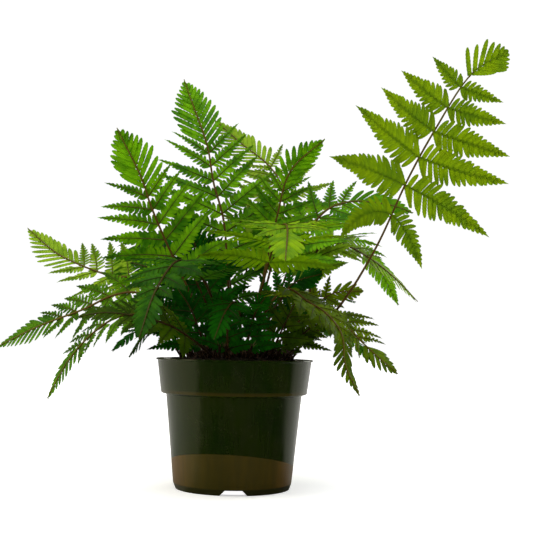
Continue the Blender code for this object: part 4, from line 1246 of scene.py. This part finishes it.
def make_pot(plastic):
    """The pot: one shell turned round Z, with notches in its foot and holes in its floor."""
    shoulder = COLLAR_BOTTOM - SHOULDER_DROP
    inner_shoulder = COLLAR_BOTTOM + WALL
    profile = [
        (0.0, FLOOR_HEIGHT),
        (FOOT_RADIUS - FOOT_WIDTH, FLOOR_HEIGHT),
        (FOOT_RADIUS - FOOT_WIDTH, 0.0),
        (FOOT_RADIUS, 0.0),
        (BODY_LOW_RADIUS, BEVEL_HEIGHT),
        (BODY_TOP_RADIUS, shoulder),
        (COLLAR_BOTTOM_RADIUS, COLLAR_BOTTOM),
        (COLLAR_TOP_RADIUS, RIM_HEIGHT - RIM_LIP),
        (RIM_RADIUS, RIM_HEIGHT - RIM_LIP + 0.4),
        (RIM_RADIUS, RIM_HEIGHT),
        (RIM_RADIUS - LIP_WALL, RIM_HEIGHT),
        (collar_inner_radius(inner_shoulder), inner_shoulder),
        (BODY_TOP_RADIUS - WALL, inner_shoulder - SHOULDER_DROP),
        (BODY_LOW_RADIUS - WALL, FLOOR_HEIGHT + WALL),
        (0.0, FLOOR_HEIGHT + WALL),
    ]
    radii = {3: 0.5, 4: 0.9, 5: 0.8, 6: 1.1, 7: 0.6, 8: 0.4, 9: 0.55, 10: 0.7, 11: 0.8, 12: 0.8}
    points, faces = revolved(rounded(profile, radii), POT_SEGMENTS)
    pot = new_piece("fine_nursery_pot", points, faces, [plastic])
    cutters = []
    for quarter in range(4):
        turn = Matrix.Rotation(math.radians(NOTCH_TURN + 90.0 * quarter), 4, "Z")
        outline = [
            (0.0, -NOTCH_BOTTOM / 2 - NOTCH_FLARE, -1.0),
            (0.0, NOTCH_BOTTOM / 2 + NOTCH_FLARE, -1.0),
            (0.0, NOTCH_TOP / 2, NOTCH_HEIGHT),
            (0.0, -NOTCH_TOP / 2, NOTCH_HEIGHT),
        ]
        corners = [turn @ Vector(corner) for corner in outline]
        inner, outer = [turn @ Vector((FOOT_RADIUS + reach, 0.0, 0.0)) for reach in NOTCH_REACH]
        cutters.append(prism(f"notch_{quarter + 1}", corners, inner, outer))
    low, high = UP * (FLOOR_HEIGHT - 2.0), UP * (FLOOR_HEIGHT + WALL + 0.2)
    drains = [(0.0, 0.0)] + circle(DRAIN_CIRCLE, 4, start=math.radians(45.0))
    for number, middle in enumerate(drains):
        corners = circle(DRAIN_RADIUS, 32, middle=middle)
        cutters.append(prism(f"drain_{number + 1}", corners, low, high))
    cut_away(pot, cutters)
    pot.data.shade_smooth()
    pot.data.set_sharp_from_angle(angle=math.radians(POT_SHARP))
    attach(pot, "root")
    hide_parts("nursery_pot")


def soil_height(x, y):
    """The height of the soil's crumbly surface."""
    share = max(0.0, 1.0 - (math.hypot(x, y) / soil_radius()) ** 2)
    rough = noise.fractal(Vector((x, y, 3.0)) / LUMP_SIZE, 0.8, 2.1, 4)
    return SOIL_EDGE + (SOIL_CROWN - SOIL_EDGE) * share + rough * LUMP_HEIGHT


def crumb(draw, centre, size, flat, stretch):
    """A rough crumb: a coarse ball pushed in and out, then flattened and turned."""
    work = bmesh.new()
    bmesh.ops.create_icosphere(work, subdivisions=1, radius=1.0)
    turn = Matrix.Rotation(draw.uniform(0.0, math.tau), 3, "Z")
    tilt = Matrix.Rotation(draw.uniform(-0.5, 0.5), 3, "X")
    points = []
    for corner in work.verts:
        spot = corner.co * draw.uniform(0.72, 1.15) * size
        spot = Vector((spot.x * stretch, spot.y, spot.z * flat))
        points.append(centre + turn @ (tilt @ spot))
    faces = [tuple(corner.index for corner in face.verts) for face in work.faces]
    work.free()
    return points, faces


def make_soil(materials):
    """The soil's body, and loose crumbs and bark on it."""
    edge = soil_radius()
    inner_shoulder = COLLAR_BOTTOM + WALL
    profile = [
        (0.0, FLOOR_HEIGHT + WALL + SOIL_GAP),
        (BODY_LOW_RADIUS - WALL - SOIL_GAP, FLOOR_HEIGHT + WALL + SOIL_GAP),
        (BODY_TOP_RADIUS - WALL - SOIL_GAP, inner_shoulder - SHOULDER_DROP + SOIL_GAP),
        (collar_inner_radius(inner_shoulder) - SOIL_GAP, inner_shoulder + SOIL_GAP),
        (edge, SOIL_EDGE),
    ]
    for ring in range(1, SOIL_RINGS):
        profile.append((edge * (1.0 - ring / SOIL_RINGS), SOIL_EDGE))
    profile.append((0.0, SOIL_CROWN))
    points, faces = revolved(profile, SOIL_SEGMENTS)
    for point in points:
        if point.z > SOIL_EDGE - 0.01:
            inside = math.hypot(point.x, point.y) < edge - 0.1
            point.z = soil_height(point.x, point.y) if inside else SOIL_EDGE
    soil = new_piece("fine_potting_soil", points, faces, materials[:1], SOIL_SHARP)
    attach(soil, "root")
    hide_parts("potting_soil")
    draw = random.Random(SOIL_SEED)
    for material, (name, (count, sizes, flat, stretch)) in zip(materials[1:], LOOSE_BITS.items()):
        points, faces = [], []
        for _ in range(count):
            radius = (edge - 2.2) * math.sqrt(draw.random())
            turn = draw.uniform(0.0, math.tau)
            x, y = radius * math.cos(turn), radius * math.sin(turn)
            size = sizes[0] + (sizes[1] - sizes[0]) * draw.random() ** 2
            centre = Vector((x, y, soil_height(x, y) + 0.25 * size))
            bits, sides = crumb(draw, centre, size, flat, stretch)
            offset = len(points)
            points += bits
            faces += [tuple(offset + corner for corner in side) for side in sides]
        piece = new_piece(name, points, faces, [material])
        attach(piece, "root")


def make_old_bases(routes, materials):
    """The crown round the stipes: dead stem bases, ragged at the top and full of scales."""
    growth = Growth()
    draw = random.Random(OLD_BASE_SEED)
    for route in routes:
        right = route.frame(0.0)[1]
        for _ in range(OLD_BASES):
            turn = draw.uniform(0.0, math.tau)
            away = between(right, UP.cross(right), turn)
            foot = route.at(0.0) + away * draw.uniform(*OLD_BASE_AWAY)
            if math.hypot(foot.x, foot.y) > soil_radius() - OLD_BASE_ROOM:
                continue
            foot.z = soil_height(foot.x, foot.y) - OLD_BASE_SINK
            lean = Vector((foot.x, foot.y, 0.0)) * draw.uniform(0.004, 0.014)
            lean += Vector((draw.uniform(-0.25, 0.25), draw.uniform(-0.25, 0.25), 0.0))
            out = (UP + lean).normalized()
            wide = out.cross(right).normalized()
            over = wide.cross(out).normalized()
            height = draw.uniform(*OLD_BASE_HEIGHT)
            radius = draw.uniform(*OLD_BASE_RADIUS)
            rows = []
            for share, full in OLD_BASE_RINGS:
                spot = foot + out * (height * share) + wide * draw.uniform(-0.3, 0.3)
                rows.append((spot, out, over, radius * full, 0.0))
            growth.tube(rows, 6, 0, draw.random())
            for _ in range(OLD_BASE_SCALES):
                spot = foot + out * (height * draw.uniform(0.1, 1.0))
                growth.scale(spot, (out, wide, over), 0.7 * radius, draw, OLD_BASE_HABIT, 1)
    piece = growth.make("old_stem_bases", materials, SOIL_SHARP)
    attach(piece, "root")


def make_camera():
    lens = bpy.data.cameras.new("photo_view")
    lens.lens = CAMERA_LENS
    camera = bpy.data.objects.new("photo_view", lens)
    lean = Matrix.Rotation(math.radians(90.0) + CAMERA_LEAN, 4, "X")
    roll = Matrix.Rotation(CAMERA_ROLL, 4, "Z")
    camera.matrix_world = Matrix.Translation(CAMERA_PLACE) @ lean @ roll
    bpy.context.scene.collection.objects.link(camera)
    bpy.context.scene.camera = camera


def make_floor():
    """A pale floor, with painted dark reflections in front of the pot and a painted glow."""
    material, tree, shader = new_material("pale_floor", 0.7, 0.3)
    where = wire(tree, "ShaderNodeTexCoord").outputs["Object"]
    x, y, _ = parted(tree, where)
    spots = wire(tree, "ShaderNodeTexNoise", {"Vector": where, "Scale": 3.0}).outputs[0]
    colour = blended(tree, spots, (0.88, 0.88, 0.88), (0.92, 0.92, 0.91))
    turn = sums(tree, "ARCTAN2", x, times(tree, y, -1.0))
    front = ranged(tree, turn, -0.95, -0.86)
    front = times(tree, front, ranged(tree, turn, 1.55, 1.75, 1.0, 0.0))
    # Painted reflections: seen in glossy rays the floor is dim brown, and black in front of the pot
    glossy = wire(tree, "ShaderNodeLightPath").outputs["Is Glossy Ray"]
    colour = blended(tree, times(tree, glossy, 0.55), colour, (0.10, 0.09, 0.06))
    painted_dark_reflection = times(tree, front, glossy)
    colour = blended(tree, painted_dark_reflection, colour, (0.0, 0.0, 0.0))
    # The floor glows more from 0.4 m outwards, and never in reflections. Under the pot's foot it
    # glows as painted light into the notches, and to the camera it glows more, a painted light that
    # fades the pot's contact shadow
    far = wire(tree, "ShaderNodeVectorMath", {0: where}, operation="LENGTH").outputs["Value"]
    glow = times(tree, ranged(tree, far, 0.4, 1.6), 0.75)
    glow = times(tree, ranged(tree, far, 0.050, 0.040), 0.9, glow)
    glow = times(tree, glow, sums(tree, "SUBTRACT", 1.0, glossy))
    seen = wire(tree, "ShaderNodeLightPath").outputs["Is Camera Ray"]
    glow = times(tree, seen, 0.42, glow)
    glow = blended(tree, glow, (0, 0, 0), (1, 1, 1))
    fill(tree, shader, {"Base Color": colour, "Emission Color": glow, "Emission Strength": 1.0})
    points = [Vector((0.0, 0.0, 0.0))] + circle(FLOOR_RADIUS, FLOOR_SIDES)
    faces = [(0, 1 + step, 1 + (step + 1) % FLOOR_SIDES) for step in range(FLOOR_SIDES)]
    new_piece("pale_floor", points, faces, [material])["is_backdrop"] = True


def soft_light(name, place, size, energy, colour):
    """A rectangular lamp that shines on the middle of the plant."""
    light = bpy.data.lights.new(name, "AREA")
    light.shape = "RECTANGLE"
    light.size, light.size_y = size
    light.energy = energy
    light.color = colour
    lamp = bpy.data.objects.new(name, light)
    lamp.location = place
    towards = Vector((0.0, 0.0, 0.2)) - Vector(place)
    lamp.rotation_euler = towards.to_track_quat("-Z", "Y").to_euler()
    bpy.context.scene.collection.objects.link(lamp)


def make_studio():
    """A white backdrop for the camera, and soft light from above and both sides."""
    world = bpy.data.worlds.new("white_studio")
    bpy.context.scene.world = world
    world.use_nodes = True
    tree = world.node_tree
    path = wire(tree, "ShaderNodeLightPath").outputs
    strength = times(tree, path["Is Glossy Ray"], -0.32, 0.42)
    strength = times(tree, path["Is Camera Ray"], 0.6, strength)
    tint = blended(tree, path["Is Glossy Ray"], (1.0, 1.0, 1.0), (1.0, 0.92, 0.55))
    fill(tree, tree.nodes["Background"], {"Color": tint, "Strength": strength})
    for light in LIGHTS:
        soft_light(*light)
    bpy.context.scene.view_settings.view_transform = "Standard"


# Each light's name, place and size in metres, power in watts, and colour
LIGHTS = [
    ("overhead", (0.0, -0.2, 2.0), (1.6, 1.6), 40.0, (1.0, 1.0, 1.0)),
    ("left_window", (-1.4, -0.1, 0.7), (1.7, 1.4), 21.0, (1.0, 0.95, 0.80)),
    ("right_rear", (1.1, 1.1, 0.7), (0.8, 1.2), 12.0, (1.0, 1.0, 1.0)),
    ("front_fill", (0.7, -1.7, 1.3), (1.2, 0.8), 3.0, (1.0, 1.0, 1.0)),
]

# Each leaf's deep and fresh green, old edges, underside, the light through it, and gloss
LEAVES = {
    "leaf_mid": ((0.018, 0.110, 0.0005), (0.172, 0.420, 0.0010), (0.20, 0.20, 0.003),
                 (0.16, 0.31, 0.006), (0.44, 0.76, 0.003), 0.05),
    "leaf_deep": ((0.006, 0.042, 0.0004), (0.040, 0.155, 0.0008), (0.06, 0.09, 0.002),
                  (0.05, 0.15, 0.005), (0.16, 0.42, 0.002), 0.05),
    "leaf_dark": ((0.0008, 0.024, 0.0003), (0.0090, 0.115, 0.0006), (0.02, 0.06, 0.001),
                  (0.012, 0.11, 0.002), (0.04, 0.30, 0.001), 0.03),
    "leaf_bright": ((0.062, 0.175, 0.0008), (0.270, 0.440, 0.0015), (0.30, 0.30, 0.004),
                    (0.18, 0.32, 0.006), (0.48, 0.74, 0.004), 0.05),
    "leaf_long": ((0.040, 0.120, 0.0006), (0.265, 0.385, 0.0012), (0.36, 0.25, 0.003),
                  (0.108, 0.205, 0.003), (0.50, 0.70, 0.003), 0.05),
    "leaf_pale": ((0.075, 0.170, 0.003), (0.270, 0.430, 0.018), (0.36, 0.28, 0.018),
                  (0.20, 0.30, 0.018), (0.46, 0.62, 0.030), 0.05),
    "leaf_side": ((0.017, 0.076, 0.0005), (0.100, 0.250, 0.0008), (0.15, 0.16, 0.003),
                  (0.10, 0.20, 0.005), (0.33, 0.58, 0.003), 0.05),
    "leaf_olive": ((0.034, 0.072, 0.0005), (0.145, 0.235, 0.0008), (0.20, 0.15, 0.003),
                   (0.15, 0.19, 0.005), (0.42, 0.56, 0.003), 0.05),
    "leaf_shaded": ((0.016, 0.046, 0.0004), (0.072, 0.140, 0.0006), (0.10, 0.09, 0.002),
                    (0.075, 0.110, 0.003), (0.20, 0.32, 0.002), 0.04),
}
# leaf_shaded is leaf_olive darkened as painted shade. leaf_deep and leaf_dark, on fronds behind,
# inside and low in the clump, are darker greens: partly their own, partly painted shade.
SHADED_LEAVES = ("leaf_deep", "leaf_dark", "leaf_shaded")

# Each stem's colour at the foot, in the middle and at the top
# shaded_stem and shaded_rib are brown_stem and leaf_rib darkened as painted shade; the old stem bases
# use shaded_stem too
STEMS = {
    "brown_stem": ((0.022, 0.010, 0.002), (0.068, 0.040, 0.004), (0.092, 0.078, 0.006)),
    "shaded_stem": ((0.012, 0.006, 0.002), (0.028, 0.016, 0.002), (0.036, 0.034, 0.002)),
    "leaf_rib": ((0.030, 0.018, 0.002), (0.048, 0.040, 0.003), (0.078, 0.080, 0.005)),
    "shaded_rib": ((0.010, 0.009, 0.001), (0.018, 0.022, 0.001), (0.026, 0.036, 0.002)),
}


def main():
    make_camera()
    make_studio()
    make_floor()
    make_cloudy_group()
    make_vein_group()
    leaves = {name: make_leaf(name, *values) for name, values in LEAVES.items()}
    stems = {name: make_stem(name, *values) for name, values in STEMS.items()}
    scales = make_scale_material()
    make_pot(make_pot_plastic())
    # The soil's browns are very dark: partly the humus's own colour, partly painted shade under the
    # fronds
    make_soil([
        make_earth("potting_soil", (0.004, 0.003, 0.001), (0.018, 0.011, 0.004)),
        make_earth("soil_crumbs", (0.005, 0.004, 0.001), (0.026, 0.016, 0.006)),
        make_earth("bark_chips", (0.014, 0.006, 0.002), (0.070, 0.026, 0.009), 0.8),
    ])
    routes = [Route(frond) for frond in FRONDS]
    make_old_bases(routes, [stems["shaded_stem"], scales])
    for number, route in enumerate(routes):
        leaf = "leaf_" + route.frond.leaf
        # A frond with a shaded leaf also gets the stem and rib darkened as painted shade
        shaded = leaf in SHADED_LEAVES
        stem = stems["shaded_stem" if shaded else "brown_stem"]
        rib = stems["shaded_rib" if shaded else "leaf_rib"]
        draw = random.Random(FROND_SEED + number)
        extra = random.Random(LEAFLET_SEED + number)
        fine_frond(route, draw, extra, [leaves[leaf], stem, rib, scales])


main()
boxes = {"cad": cad_box, "visual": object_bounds()}
{name: [list(corner) for corner in box] for name, box in boxes.items()}
